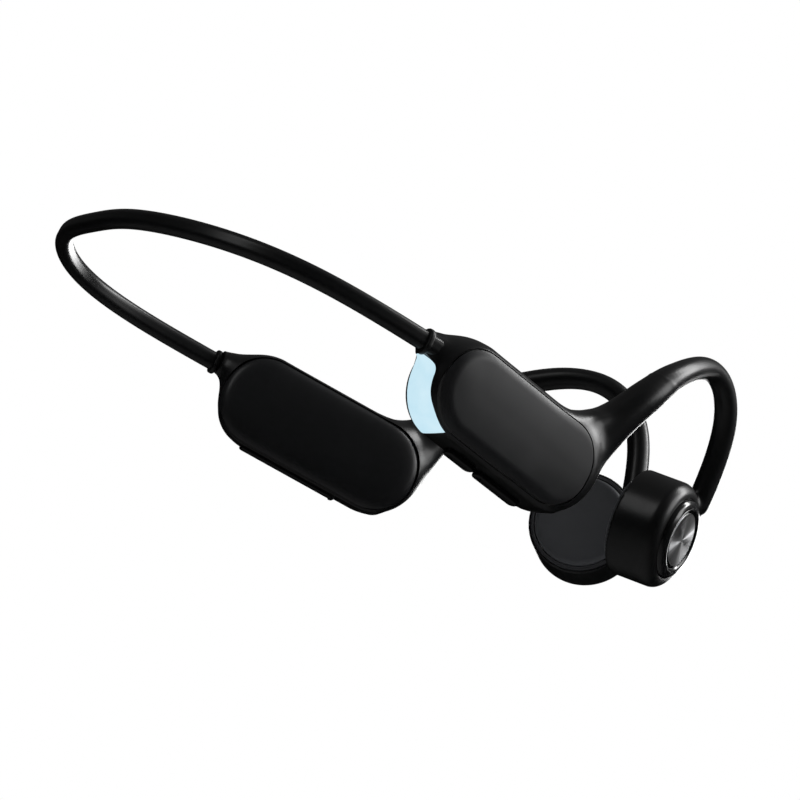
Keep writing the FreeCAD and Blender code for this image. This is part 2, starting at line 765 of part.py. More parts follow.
def make_light(blank):
    """The window round the right pod's rear end, its lamp board and its lamps."""
    pieces = {}
    for name, play in (("light_region", 0.0), ("light_opening", 0.04)):
        region = box(name + "_box", "pod", (-30, -3.6 - play, -13),
                     (s.window_front + play, 4.3 + play, s.window_top + play))
        skin = (s.window_skin + play) * 2
        core = prism(name + "_core", [
            (rounded_rectangle, (s.pod_length - skin, s.pod_height - skin,
                                 s.pod_corner - skin / 2, s.pod_shift_x, s.pod_shift_z))],
            -7, 14)
        pieces[name] = cut(name, region, [core])
    common("light_window", [blank, pieces["light_region"]])
    low, high = s.window_top - 2.2, s.window_top - 1.0
    lamps = [box("lamp_%d" % k, "pod", (-21.7, y, low), (-20.9, y + 1.2, high))
             for k, y in enumerate((1.3, 2.9))]
    group = doc.addObject("Part::Compound", "lamps")
    group.Links = lamps
    box("lamp_board", "pod", (-20.9, 1.1, low - 0.1), (-20.3, 4.3, high + 0.3))
    way = box("lamp_way", "pod", (-24.5, 1.2, low - 0.1), (-20.2, 4.2, high + 0.1))
    return [pieces["light_opening"], way]


# ---- left pod --------------------------------------------------------------------------

def make_left_tools():
    """Recess for the port cover and the way in to the charging socket, drawn on the right."""
    gap = 0.15
    recess_top = underside() + s.cover_thickness - s.cover_proud + gap
    recess = prism("cover_recess", [
        (rounded_rectangle, (s.cover_length + 2 * gap, s.cover_width + 2 * gap, 1.2,
                             s.cover_x, 0))], underside() - 1,
        recess_top - underside() + 1, "XY_Plane")
    knuckle = box("knuckle_recess", "pod",
                  (hinge_x() - 1.3, -s.cover_width / 2 - 0.1, underside() - 1),
                  (hinge_x() + s.knuckle_radius + gap, s.cover_width / 2 + 0.1,
                   hinge_height() + s.knuckle_radius + gap))
    pin = hinge_cylinder("pin_bore", s.hinge_radius, s.cover_width / 2 + 1.1)
    way = prism("socket_way", [
        (rounded_rectangle, (s.port_length + 0.1, s.port_width + 0.1, 1.6, s.port_x, 0))],
        underside(), 6, "XY_Plane")
    return [recess, knuckle, pin, way]


def hinge_x():
    return s.cover_x + s.cover_length / 2


def hinge_height():
    return underside() + s.knuckle_radius - s.cover_proud


def hinge_cylinder(name, radius, half_length):
    """A cylinder on the port cover's hinge axis, across the pod."""
    item = doc.addObject("Part::Cylinder", name)
    bind(item, "Radius", radius)
    bind(item, "Height", size(half_length) * 2)
    place(item, "pod", hinge_x(), half_length, hinge_height())
    turn = item.Placement.Rotation
    item.setExpression("Placement.Rotation.Angle", None)
    item.Placement = Placement(item.Placement.Base,
                               turn.multiply(Rotation(Vector(1, 0, 0), 90)))
    return item


def make_port():
    """Charging socket, its tongue and board, the battery, and the hinged cover."""
    shell = [(rounded_rectangle, (s.port_length, s.port_width, 1.6, s.port_x, 0)),
             (rounded_rectangle, (s.port_length - s.port_wall * 2,
                                  s.port_width - s.port_wall * 2, 1.3, s.port_x, 0))]
    mouth = underside() + s.cover_thickness - s.cover_proud + 0.9
    mirror(prism("socket_shell", shell, mouth, s.port_depth, "XY_Plane"), "charging_socket")
    tongue = (rounded_rectangle, (6.6, 0.7, 0.3, s.port_x, 0))
    mirror(prism("socket_blade", [tongue], mouth + 0.8, s.port_depth - 1.2, "XY_Plane"),
           "socket_tongue")
    board = [(rounded_rectangle, (18.4, 12.0, 4.0, -11.5, 0.6)), (circle, (0.6, -19.6, 0))]
    plane = -s.port_width / 2 - 0.05
    mirror(prism("power_panel", board, plane - 0.8, 0.8), "charge_board")
    cell = (rounded_rectangle, (17.0, 12.4, 2.0, 7.6, 0.2))
    mirror(prism("cell_block", [cell], -4.2, 7.4), "battery")

    low = underside() - s.cover_proud
    leaf = new_body("cover_leaf", "pod")
    outline = new_sketch(leaf, "cover_outline", "XY_Plane", low)
    rounded_rectangle(outline, s.cover_length, s.cover_width, 1.0, s.cover_x, 0)
    base = pad(leaf, outline, s.cover_thickness)
    rim = float(low) + 0.01
    fillet(leaf, base, edges_where(base.Shape, lambda p: p.z < rim), 0.4)
    plug = new_sketch(leaf, "plug_outline", "XY_Plane", low + s.cover_thickness)
    rounded_rectangle(plug, 7.6, 1.9, 0.9, s.port_x, 0)
    pad(leaf, plug, 0.8)
    knuckle = hinge_cylinder("cover_knuckle", s.knuckle_radius, s.cover_width / 2)
    bore = hinge_cylinder("cover_bore", s.hinge_radius + 0.05, s.cover_width / 2 + 1)
    leaf_and_knuckle = fuse("cover_solid", [leaf, knuckle])
    mirror(cut("cover_bored", leaf_and_knuckle, [bore]), "port_cover")
    pin = hinge_cylinder("hinge_rod", s.hinge_radius, s.cover_width / 2 + 1)
    mirror(pin, "port_hinge_pin")


# ---- ear hook --------------------------------------------------------------------------

def make_hook(root):
    """Hook sleeve from the root's taper to the barrel, with its spring wire and cable."""
    points = hook_points()
    spine = route_wire("hook_route", points)
    direction = (points[1] - points[0]).normalize()
    side = direction.cross(Vector(0, 0, 1)).normalize()
    start = facing(points[0], direction, side)
    outside = fuse("hook_outside", [rod("hook_tube", spine, start, s.hook_radius), root])
    wire = rod("right_hook_wire_long", spine, start, s.wire_radius)
    wire_bore = rod("hook_wire_bore", spine, start, s.wire_radius + s.bore_clearance)
    shifted = route_wire("hook_cable_route", [p + HOOK_CABLE_SHIFT for p in points])
    aside = Placement(start.Base + HOOK_CABLE_SHIFT, start.Rotation)
    cable = rod("right_hook_cable_long", shifted, aside, s.cable_radius)
    cable_bore = rod("hook_cable_bore", shifted, aside, s.cable_radius + s.bore_clearance)
    below_root = box("below_root", "headset", (0, -60, -20), (60, -20, s.root_top))
    return outside, wire, cable, [wire_bore, cable_bore], below_root


# ---- transducer ------------------------------------------------------------------------

def turned(label, points, frame="transducer"):
    """A turned piece from its profile of (along the axis, radius) points."""
    body = new_body(label, frame)
    sketch = new_sketch(body, label + "_profile", "XZ_Plane")
    polygon(sketch, points)
    revolve(body, sketch)
    return body


def ring_profile(inner, outer, start, end):
    return [(start, inner), (end, inner), (end, outer), (start, outer)]


def make_barrel():
    """The barrel: a cup open to the skin side with a round window in its outer face."""
    body = turned("barrel_cup", [
        (s.barrel_start, s.barrel_radius - s.barrel_wall),
        (s.barrel_start, s.barrel_radius), (s.barrel_end, s.barrel_radius),
        (s.barrel_end, s.ring_outer + 0.35),
        (s.barrel_end - s.barrel_face / 2, s.ring_outer + 0.35),
        (s.barrel_end - s.barrel_face / 2, s.ring_outer),
        (s.barrel_end - s.barrel_face, s.ring_outer),
        (s.barrel_end - s.barrel_face, s.barrel_radius - s.barrel_wall),
    ])
    turn = body.Tip
    reach = s.barrel_radius.value
    end = s.barrel_end.value
    rim = [name for name, edge in
           (("Edge%d" % (i + 1), e) for i, e in enumerate(turn.Shape.Edges))
           if abs(edge.CenterOfMass.x - end) < 0.01
           and abs(edge.BoundBox.ZMax - reach) < 0.01]
    fillet(body, turn, rim, s.barrel_shoulder)
    return body


def make_transducer():
    """Everything in the barrel that is the same on both sides, named without its side."""
    pad_back = size(0.5)
    yoke_back = s.magnet_start + s.magnet_length
    magnet_gap = s.yoke_radius - s.yoke_wall
    ring_start = s.ring_end - s.ring_length
    groove = s.barrel_end - s.barrel_face / 2
    return {
        "skin_pad": turned("pad_turned", [
            (-s.pad_crown, 0), (-s.pad_crown * 0.9, s.pad_radius * 0.45),
            (-s.pad_crown * 0.5, s.pad_radius * 0.85), (size(0), s.pad_radius),
            (pad_back, s.pad_radius), (pad_back, 0)]),
        "pad_lip_ring": turned("lip_turned", ring_profile(
            s.pad_radius + 0.1, s.lip_outer, -0.3, s.barrel_start)),
        "coil_carrier": turned("carrier_turned", [
            (pad_back, 0), (1.5, 0), (1.5, s.coil_inner - 0.3), (2.1, s.coil_inner - 0.3),
            (2.1, s.coil_outer + 0.3), (1.5, s.coil_outer + 0.3), (1.5, 11.0),
            (pad_back, 11.0)]),
        "voice_coil": turned("coil_turned", ring_profile(
            s.coil_inner, s.coil_outer, 2.7, s.magnet_start + s.magnet_length * 0.6)),
        "magnet": turned("magnet_turned", [
            (s.magnet_start, 0), (yoke_back, 0), (yoke_back, s.magnet_radius),
            (s.magnet_start, s.magnet_radius)]),
        "yoke": turned("yoke_turned", [
            (yoke_back, 0), (yoke_back + s.yoke_wall, 0),
            (yoke_back + s.yoke_wall, s.yoke_radius), (s.magnet_start - 0.6, s.yoke_radius),
            (s.magnet_start - 0.6, magnet_gap), (yoke_back, magnet_gap)]),
        "trim_ring": turned("trim_turned", [
            (ring_start, s.ring_inner), (s.ring_end - 0.4, s.ring_inner),
            (s.ring_end, s.ring_inner + 0.5), (s.ring_end, s.ring_outer - 1.6),
            (s.ring_end - 1.2, s.ring_outer - 0.1), (groove + 0.1, s.ring_outer - 0.1),
            (groove + 0.1, s.ring_outer - 0.03), (ring_start, s.ring_outer - 0.03)]),
    }


def make_spring():
    """Suspension spring on the yoke's rim: a thin ring with four slots."""
    rim = s.magnet_start - 0.6
    body = turned("spring_turned", ring_profile(
        s.spring_inner, s.spring_outer, rim - s.spring_thickness, rim))
    slot = new_sketch(body, "spring_slot", "YZ_Plane", rim)
    rounded_rectangle(slot, 9.0, 0.8, 0.35, 0, (s.spring_inner + s.spring_outer) / 2 + 0.2)
    first = pocket(body, slot, 1)
    pattern = body.newObject("PartDesign::PolarPattern", "spring_slots")
    pattern.Originals = [first]
    axis = [f for f in body.Origin.OriginFeatures if f.Role == "X_Axis"][0]
    pattern.Axis = (axis, [""])
    pattern.Angle = 360
    pattern.Occurrences = 4
    body.Tip = pattern
    doc.recompute()
    return body


def make_disc(label, switch):
    """Spun metal disc; the one that is a button has a stem that reaches its switch."""
    back = s.disc_end - s.disc_thickness
    stem = back - (0.5 if switch else 1.2)
    return turned(label, [
        (stem, 0), (s.disc_end, 0), (s.disc_end, s.disc_radius - 0.25),
        (s.disc_end - 0.25, s.disc_radius), (back, s.disc_radius), (back, 1.2), (stem, 1.2)])


# ---- assembly --------------------------------------------------------------------------

def build():
    band_bores = make_neckband()
    socket, behind = make_collar()
    blank, root = make_blank(behind)
    make_covers(blank)

    hook, wire, cable, hook_bores, below_root = make_hook(root)
    barrel = make_barrel()

    shared = cut("shared_housing", blank,
                 make_cavity() + make_recesses() + [socket] + band_bores + hook_bores)
    cut("right_pod_housing", shared,
        make_buttons() + make_right_electronics() + make_light(blank))
    left_tools = [mirror(tool, "left_" + tool.Label) for tool in make_left_tools()]
    cut("left_pod_housing", mirror(shared, "left_shared_housing"), left_tools)
    make_port()

    # the hook meets the housing's root in a level cut and the barrel in a saddle
    filling = turned("barrel_filling", [
        (s.barrel_start, 0), (s.barrel_start, s.barrel_radius - s.barrel_wall / 2),
        (s.barrel_end - s.barrel_face, s.barrel_radius - s.barrel_wall / 2),
        (s.barrel_end - s.barrel_face / 2, s.ring_outer + 0.4),
        (s.barrel_end, s.ring_outer + 0.4), (s.barrel_end, s.ring_outer),
        (s.ring_end - 1.2, s.ring_outer), (s.ring_end, s.ring_outer - 1.4),
        (s.ring_end + 6, s.ring_outer - 1.4), (s.ring_end + 6, 0)])
    sleeve = cut("right_ear_hook", hook, [below_root, barrel, filling] + hook_bores)
    mirror(sleeve, "left_ear_hook")
    stop = turned("wire_stop", [(0, 0), (0, 10.6), (20, 10.6), (20, 0)])
    for name, core in (("hook_wire", wire), ("hook_cable", cable)):
        right = cut("right_" + name, core, [stop])
        mirror(right, "left_" + name)
    mirror(cut("right_barrel", barrel, hook_bores), "left_barrel")

    for name, body in make_transducer().items():
        body.Label = "right_" + name
        mirror(body, "left_" + name)
    spring = make_spring()
    spring.Label = "right_suspension_spring"
    mirror(spring, "left_suspension_spring")

    make_disc("multifunction_button", True)
    mirror(make_disc("left_cap_turned", False), "left_metal_cap")
    prism("button_switch", [(rounded_rectangle, (3.2, 3.2, 0.4))], 10.6, 1.2,
          "YZ_Plane", "transducer")
    turned("switch_board", [(9.4, 0), (10.6, 0), (10.6, 6.4), (9.4, 6.4)])


NODES = ["neckband_sleeve", "neckband_wire", "neckband_cable"]
for _side in ("right_", "left_"):
    NODES += [_side + name for name in (
        "pod_housing", "outer_cover_plate", "outer_cover_gasket", "inner_cover_panel",
        "inner_cover_gasket", "neck_collar", "ear_hook", "hook_wire", "hook_cable", "barrel",
        "skin_pad", "pad_lip_ring", "coil_carrier", "voice_coil", "magnet", "yoke",
        "trim_ring", "suspension_spring")]
NODES += [
    "multifunction_button", "button_switch", "switch_board", "left_metal_cap",
    "main_board", "right_board_screws", "microphone", "light_window", "lamps", "lamp_board",
    "volume_up_button", "volume_down_button", "volume_up_switch", "volume_down_switch",
    "button_board", "charging_socket", "socket_tongue", "charge_board", "battery",
    "port_cover", "port_hinge_pin",
]


def export():
    """Checks the whole document and writes one file for each piece."""
    doc.recompute()
    for item in doc.Objects:
        if "Invalid" in item.State or "Error" in item.State:
            raise RuntimeError("%s did not build: %s" % (item.Label, item.State))
    os.makedirs("parts", exist_ok=True)
    for node in NODES:
        shape = doc.getObjectsByLabel(node)[0].Shape
        if shape.isNull() or not shape.isValid() or not shape.Solids:
            raise RuntimeError("%s is not a valid solid" % node)
        shape.exportStep("parts/%s.step" % node)
        print("%-26s %2d solid(s) %9.1f mm3" % (node, len(shape.Solids), shape.Volume))


build()
export()
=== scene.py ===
# Looks for a pair of bone conduction headphones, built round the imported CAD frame.
#
# Shapes are worked out in millimetres in the headset's own frame (origin midway between the
# pods' centres, x to the front, z up) for the wearer's right side, y < 0, and are mirrored for
# the left side. to_row() turns them into the row frame in metres.
import json
import math

import bmesh
import bpy
import numpy as np
from mathutils import Matrix, Vector


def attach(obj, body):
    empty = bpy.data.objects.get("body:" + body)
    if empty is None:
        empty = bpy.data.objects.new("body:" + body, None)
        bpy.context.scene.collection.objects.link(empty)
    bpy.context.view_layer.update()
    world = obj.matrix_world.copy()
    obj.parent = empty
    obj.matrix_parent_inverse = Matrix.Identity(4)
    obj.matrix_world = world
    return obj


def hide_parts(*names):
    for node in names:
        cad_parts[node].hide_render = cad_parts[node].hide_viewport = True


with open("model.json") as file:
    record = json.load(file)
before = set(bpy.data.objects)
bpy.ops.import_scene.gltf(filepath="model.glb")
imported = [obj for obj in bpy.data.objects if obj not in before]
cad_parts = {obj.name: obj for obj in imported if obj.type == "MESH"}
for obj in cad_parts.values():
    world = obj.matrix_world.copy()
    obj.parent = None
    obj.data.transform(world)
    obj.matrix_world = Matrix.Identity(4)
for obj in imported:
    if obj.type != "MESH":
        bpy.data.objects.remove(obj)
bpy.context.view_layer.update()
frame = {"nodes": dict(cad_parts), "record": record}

MM = 0.001
ORIGIN = np.array([8.235, 0.0, 12.3])          # the headset frame's origin in the row frame
ROOT_TOP = 23.2                                # height where the housings end and the hooks start


def direction(angle):
    return np.array([math.cos(angle), math.sin(angle), 0.0])


TOE = math.radians(14.6)
POD = np.array([0.0, -47.4, 0.0])
POD_X, POD_OUT, UP = direction(TOE), -direction(TOE + math.pi / 2), np.array([0.0, 0.0, 1.0])
CAN_ANGLE = math.radians(-48.3)
CAN = np.array([56.3, -11.6, 8.5])
CAN_AXIS, CAN_SIDE = direction(CAN_ANGLE), direction(CAN_ANGLE + math.pi / 2)

# control points of the two centrelines, cubic B-splines
HOOK_LINE = [(23.4, -41.5, 4.3), (24.6, -41.5, 9.2), (28.4, -44.4, 23.6), (36.7, -40.2, 36.0),
             (50.9, -26.8, 47.2), (64.7, -19.6, 40.1), (67.3, -16.6, 24.2), (68.0, -15.4, 19.8)]
BAND_HALF = [(-22.8, -54.8, 4.29), (-27.8, -55.2, 4.07), (-49.7, -57.1, 3.1), (-68.2, -49.9, 2.27),
             (-80.4, -35.2, 1.73), (-87.6, -17.7, 1.41), (-87.6, 0.0, 1.41)]


# ---- curves ----------------------------------------------------------------------------

def spline(points, count, degree=3):
    """Points along a clamped B-spline."""
    points = np.array(points, float)
    spans = len(points) - degree
    knots = np.r_[[0.0] * degree, np.linspace(0, 1, spans + 1), [1.0] * degree]
    out = []
    for t in np.linspace(0, 1, count):
        k = min(int(t * spans), spans - 1) + degree
        d = [points[k - degree + j] for j in range(degree + 1)]
        for r in range(1, degree + 1):
            for j in range(degree, r - 1, -1):
                low = knots[j + k - degree]
                share = (t - low) / (knots[j + 1 + k - r] - low)
                d[j] = (1 - share) * d[j - 1] + share * d[j]
        out.append(d[degree])
    return np.array(out)


def ease(x, xs, ys):
    """A smooth curve through (xs, ys), level beyond its ends."""
    xs, ys = np.array(xs, float), np.array(ys, float)
    slope = np.gradient(ys, xs)
    x = np.clip(x, xs[0], xs[-1])
    i = np.clip(np.searchsorted(xs, x, side="right") - 1, 0, len(xs) - 2)
    w = xs[i + 1] - xs[i]
    t = (x - xs[i]) / w
    return ((2 * t ** 3 - 3 * t ** 2 + 1) * ys[i] + (t ** 3 - 2 * t ** 2 + t) * w * slope[i]
            + (3 * t ** 2 - 2 * t ** 3) * ys[i + 1] + (t ** 3 - t ** 2) * w * slope[i + 1])


def band_line(count):
    return spline(BAND_HALF + [(x, -y, z) for x, y, z in BAND_HALF[-2::-1]], count)


# ---- distance fields -------------------------------------------------------------------

def local(points, base, *axes):
    d = points - base
    return [d @ a for a in axes]


def rect_distance(x, z, half_x, half_z, radius):
    qx, qz = np.abs(x) - (half_x - radius), np.abs(z) - (half_z - radius)
    outside = np.hypot(np.maximum(qx, 0), np.maximum(qz, 0))
    return outside + np.minimum(np.maximum(qx, qz), 0) - radius


def slab(outline, across, rounding):
    """Distance to an outline given thickness, with its edges rounded."""
    a, b = outline + rounding, across + rounding
    return np.hypot(np.maximum(a, 0), np.maximum(b, 0)) + np.minimum(np.maximum(a, b), 0) - rounding


def merge(a, b, k):
    """Smooth union: a fillet of about k between two fields."""
    h = np.clip(0.5 + 0.5 * (b - a) / k, 0, 1)
    return b + (a - b) * h - k * h * (1 - h)


def tube_distance(points, line, radii):
    """Distance to a tube along a line of points, with a radius at each of them."""
    best = np.full(len(points), 12.0)
    near = np.all((points > line.min(0) - 14) & (points < line.max(0) + 14), axis=1)
    q = points[near]
    low = np.full(len(q), 1e9)
    for a, b, r, s in zip(line[:-1], line[1:], radii[:-1], radii[1:]):
        ab = b - a
        t = np.clip(((q - a) @ ab) / (ab @ ab), 0, 1)
        d = q - a - t[:, None] * ab
        low = np.minimum(low, np.sqrt(np.einsum("ij,ij->i", d, d)) - (r + t * (s - r)))
    best[near] = low
    return best


HOOK_PATH = spline(HOOK_LINE, 72)
HOOK_RADII = ease(np.arange(72), (0, 10, 18, 24, 27.5, 31.5, 35.5, 42, 46.5, 52, 66),
                  (3.9, 3.8, 3.5, 3.2, 2.95, 2.78, 2.68, 2.5, 2.56, 2.66, 2.74))


def pod_field(points):
    x, o, z = local(points, POD, POD_X, POD_OUT, UP)
    # body: its rear end and underside draw in towards the outer face, its top towards the inner
    outer = np.clip((o + 5) / 11, 0, 1)
    outer = outer * outer * (3 - 2 * outer)
    rear, bottom, top = -25.2 + 1.2 * outer, -11.3 + 1.0 * outer, 11.8 - 0.5 * outer
    outline = rect_distance(x - (27.0 + rear) / 2, z - (top + bottom) / 2, (27.0 - rear) / 2,
                            (top - bottom) / 2, 11.0)
    crown = np.clip(-outline / 10, 0, 1)
    body = slab(outline, np.abs(o) - 5.95 - 0.5 * (1 - (1 - crown) ** 2), 3.2)
    # neck: elliptical sections across x, from the collar into the pod's upper rear
    cz = ease(x, (-29, -25.2, -22, -17, -9), (4.15, 4.15, 3.4, 2.1, 1.0))
    rz = ease(x, (-29, -27.9, -25.2, -22, -17, -9), (3.0, 3.1, 4.0, 5.7, 7.6, 6.0))
    ro = ease(x, (-29, -27.9, -25.2, -22, -17, -9), (2.6, 2.75, 3.6, 4.5, 4.2, 2.0))
    co = ease(x, (-28, -17), (-0.65, 0.0))
    neck = (np.hypot((z - cz) / rz, (o - co) / ro) - 1) * np.minimum(rz, ro)
    neck = np.maximum(neck, x + 9)
    # root of the hook: squarish sections across z between its rear and front edges
    back = ease(z, (-8, -3, 4, 9, 12.5, 14.9, 16.4, 19.1, 23, 27, 30),
                (7, 9, 11, 13, 16, 18.8, 20.7, 23.0, 25.6, 28.3, 31.0))
    front = ease(z, (-8, -6, -3, 0, 3, 6, 10, 13, 17.8, 22.6, 27, 30),
                 (19.6, 21.9, 24.5, 26.4, 27.9, 28.9, 29.7, 30.5, 32.0, 34.0, 35.6, 36.6))
    half = (front - back) / 2
    thick = ease(z, (-8, -3, 6, 12, 18, 23, 27, 30), (3.6, 4.4, 4.6, 4.3, 4.0, 3.7, 3.3, 2.7))
    middle = ease(z, (0, 10, 16, 21.5, 24, 27, 30), (0.5, 0.8, 1.5, 2.4, 2.8, 2.9, 2.6))
    power = ease(z, (8, 22), (2.7, 2.0))
    root = ((np.abs((x - (front + back) / 2) / half) ** power
             + np.abs((o - middle) / thick) ** power) ** (1 / power) - 1) * np.minimum(half, thick)
    root = np.maximum(root, np.maximum(z - 30, -8 - z))
    return merge(merge(body, neck, 3.0), root, 4.0)


def can_field(points):
    a, b, z = local(points, CAN, CAN_AXIS, CAN_SIDE, UP)
    r = np.hypot(b, z)
    rounding = np.where(a > 6, 3.0, 0.5)
    return slab(r - 12.7, np.abs(a - 6.25) - 5.95, rounding)


def side_field(points):
    skin = merge(pod_field(points), tube_distance(points, HOOK_PATH, HOOK_RADII), 1.6)
    return merge(skin, can_field(points), 1.4)


def gradient(field, points, step=0.02):
    out = np.empty_like(points)
    for k in range(3):
        shift = np.zeros(3)
        shift[k] = step
        out[:, k] = (field(points + shift) - field(points - shift)) / (2 * step)
    return out


def skin_mesh(field, low, high, cell):
    """Quads on the field's zero surface, by surface nets, moved onto it and evened out."""
    block = 8
    counts = [int(math.ceil((h - l) / cell / block)) for l, h in zip(low, high)]
    low = np.array(low, float)
    centres = [low[k] + cell * (block * np.arange(counts[k]) + (block - 1) / 2) for k in range(3)]
    grid = np.stack(np.meshgrid(*centres, indexing="ij"), -1).reshape(-1, 3)
    rough = field(grid)
    active = np.nonzero(np.abs(rough) < cell * block * 1.25)[0]
    n = [c * block for c in counts]
    values = np.repeat(np.repeat(np.repeat(np.sign(rough).reshape(counts), block, 0), block, 1),
                       block, 2).astype(np.float32)
    offset = np.stack(np.meshgrid(*[np.arange(block)] * 3, indexing="ij"), -1).reshape(-1, 3)
    starts = np.stack(np.unravel_index(active, counts), -1) * block
    for chunk in range(0, len(starts), 400):
        index = (starts[chunk:chunk + 400, None, :] + offset[None]).reshape(-1, 3)
        values[index[:, 0], index[:, 1], index[:, 2]] = field(low + index * cell)
    inside = values < 0
    corners = [(i, j, k) for i in (0, 1) for j in (0, 1) for k in (0, 1)]
    def part(a, c):
        return a[c[0]:n[0] - 1 + c[0], c[1]:n[1] - 1 + c[1], c[2]:n[2] - 1 + c[2]]
    total = sum(part(inside, c).astype(np.uint8) for c in corners)
    cells = np.stack(np.nonzero((total > 0) & (total < 8)), -1)
    corner_values = np.stack([values[tuple((cells + c).T)] for c in corners], -1)
    sums, hits = np.zeros((len(cells), 3)), np.zeros(len(cells))
    for p, a in enumerate(corners):
        for q, b in enumerate(corners):
            if q <= p or sum(abs(x - y) for x, y in zip(a, b)) != 1:
                continue
            u, v = corner_values[:, p], corner_values[:, q]
            cross = (u < 0) != (v < 0)
            t = np.where(cross, u / np.where(cross, u - v, 1), 0)[:, None]
            sums += np.where(cross[:, None], np.array(a) * (1 - t) + np.array(b) * t, 0)
            hits += cross
    vertices = low + (cells + sums / hits[:, None]) * cell
    number = np.full([m - 1 for m in n], -1, np.int64)
    number[tuple(cells.T)] = np.arange(len(cells))
    quads = []
    for axis in range(3):
        one, two = (axis + 1) % 3, (axis + 2) % 3
        first = [slice(1, m - 1) for m in n]
        second = list(first)
        second[axis] = slice(2, n[axis])
        a, b = inside[tuple(first)], inside[tuple(second)]
        for flip, hit in ((False, a & ~b), (True, b & ~a)):
            at = np.stack(np.nonzero(hit), -1) + 1
            ring = []
            for du, dv in ((0, 0), (-1, 0), (-1, -1), (0, -1)):
                c = at.copy()
                c[:, one] += du
                c[:, two] += dv
                ring.append(number[tuple(c.T)])
            ring = ring[::-1] if flip else ring
            quads.append(np.stack(ring, -1))
    quads = np.concatenate(quads)
    for turn in range(4):
        for _ in range(2):
            g = gradient(field, vertices)
            vertices -= g * (field(vertices) / np.maximum((g * g).sum(1), 0.05))[:, None]
        if turn < 3:
            total, count = np.zeros_like(vertices), np.zeros(len(vertices))
            for i in range(4):
                a, b = quads[:, i], quads[:, (i + 1) % 4]
                np.add.at(total, a, vertices[b])
                np.add.at(count, a, 1)
                np.add.at(total, b, vertices[a])
                np.add.at(count, b, 1)
            vertices += 0.5 * (total / count[:, None] - vertices)
    return vertices, quads


# ---- meshes ----------------------------------------------------------------------------

def to_row(points, side=-1):
    """Millimetres in the right-hand headset frame to metres in the row frame."""
    points = np.array(points, float).reshape(-1, 3) * (1, -side, 1)
    return (points + ORIGIN) * MM


def make_mesh(name, vertices, faces, side=-1):
    """An object from right-hand millimetre points, mirrored to the left where side is 1."""
    mesh = bpy.data.meshes.new(name)
    rows = [list(map(int, f)) for f in faces]
    if side > 0:
        rows = [f[::-1] for f in rows]
    mesh.from_pydata(to_row(vertices, side).tolist(), [], rows)
    mesh.validate()
    obj = bpy.data.objects.new(name, mesh)
    bpy.context.scene.collection.objects.link(obj)
    return obj


def smooth(obj, angle=32):
    mesh = obj.data
    mesh.polygons.foreach_set("use_smooth", [True] * len(mesh.polygons))
    mesh.set_sharp_from_angle(angle=math.radians(angle))
    return obj


def finish_piece(obj, body, slot, material, *nodes, angle=32):
    smooth(obj, angle)
    obj.data.materials.clear()
    obj.data.materials.append(material)
    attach(obj, body)
    if nodes:
        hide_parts(*nodes)
    return obj


def boolean(obj, tool, kind="DIFFERENCE"):
    modifier = obj.modifiers.new("cut", "BOOLEAN")
    modifier.operation, modifier.object, modifier.solver = kind, tool, "EXACT"
    graph = bpy.context.evaluated_depsgraph_get()
    mesh = bpy.data.meshes.new_from_object(obj.evaluated_get(graph))
    obj.modifiers.clear()
    old, obj.data = obj.data, mesh
    bpy.data.meshes.remove(old)
    return obj


def remove(*objects):
    for obj in objects:
        bpy.data.objects.remove(obj, do_unlink=True)


def cut_plane(vertices, faces, point, normal):
    """The closed part of a mesh on the side that the normal points away from."""
    bm = bmesh.new()
    made = [bm.verts.new(v) for v in vertices]
    for f in faces:
        bm.faces.new([made[i] for i in f])
    result = bmesh.ops.bisect_plane(bm, geom=bm.verts[:] + bm.edges[:] + bm.faces[:],
                                    dist=1e-5, plane_co=Vector(point), plane_no=Vector(normal),
                                    clear_outer=True)
    edges = [e for e in result["geom_cut"] if isinstance(e, bmesh.types.BMEdge) and e.is_valid]
    bmesh.ops.holes_fill(bm, edges=[e for e in edges if e.is_boundary], sides=0)
    bmesh.ops.recalc_face_normals(bm, faces=bm.faces[:])
    bm.verts.index_update()
    out = (np.array([v.co for v in bm.verts]), [[v.index for v in f.verts] for f in bm.faces])
    bm.free()
    return out


def islands(vertices, faces):
    """The connected parts of a mesh, each as its own vertices and faces."""
    label = np.arange(len(vertices))
    edges = np.array([(f[i - 1], f[i]) for f in faces for i in range(len(f))])
    while True:
        low = label.copy()
        np.minimum.at(low, edges[:, 0], label[edges[:, 1]])
        np.minimum.at(low, edges[:, 1], label[edges[:, 0]])
        low = low[low]
        if (low == label).all():
            break
        label = low
    first = np.array([label[f[0]] for f in faces])
    parts = []
    for key in np.unique(first):
        rows = [f for f, k in zip(faces, first) if k == key]
        used = np.unique(np.concatenate([np.array(r) for r in rows]))
        place = np.full(len(vertices), -1)
        place[used] = np.arange(len(used))
        parts.append((vertices[used], [[place[i] for i in r] for r in rows]))
    return parts


def pod_point(x, o, z):
    along, outward = np.multiply.outer(x, POD_X), np.multiply.outer(o, POD_OUT)
    return POD + along + outward + np.multiply.outer(z, UP)


def can_point(a, b, z):
    along, across = np.multiply.outer(a, CAN_AXIS), np.multiply.outer(b, CAN_SIDE)
    return CAN + along + across + np.multiply.outer(z, UP)


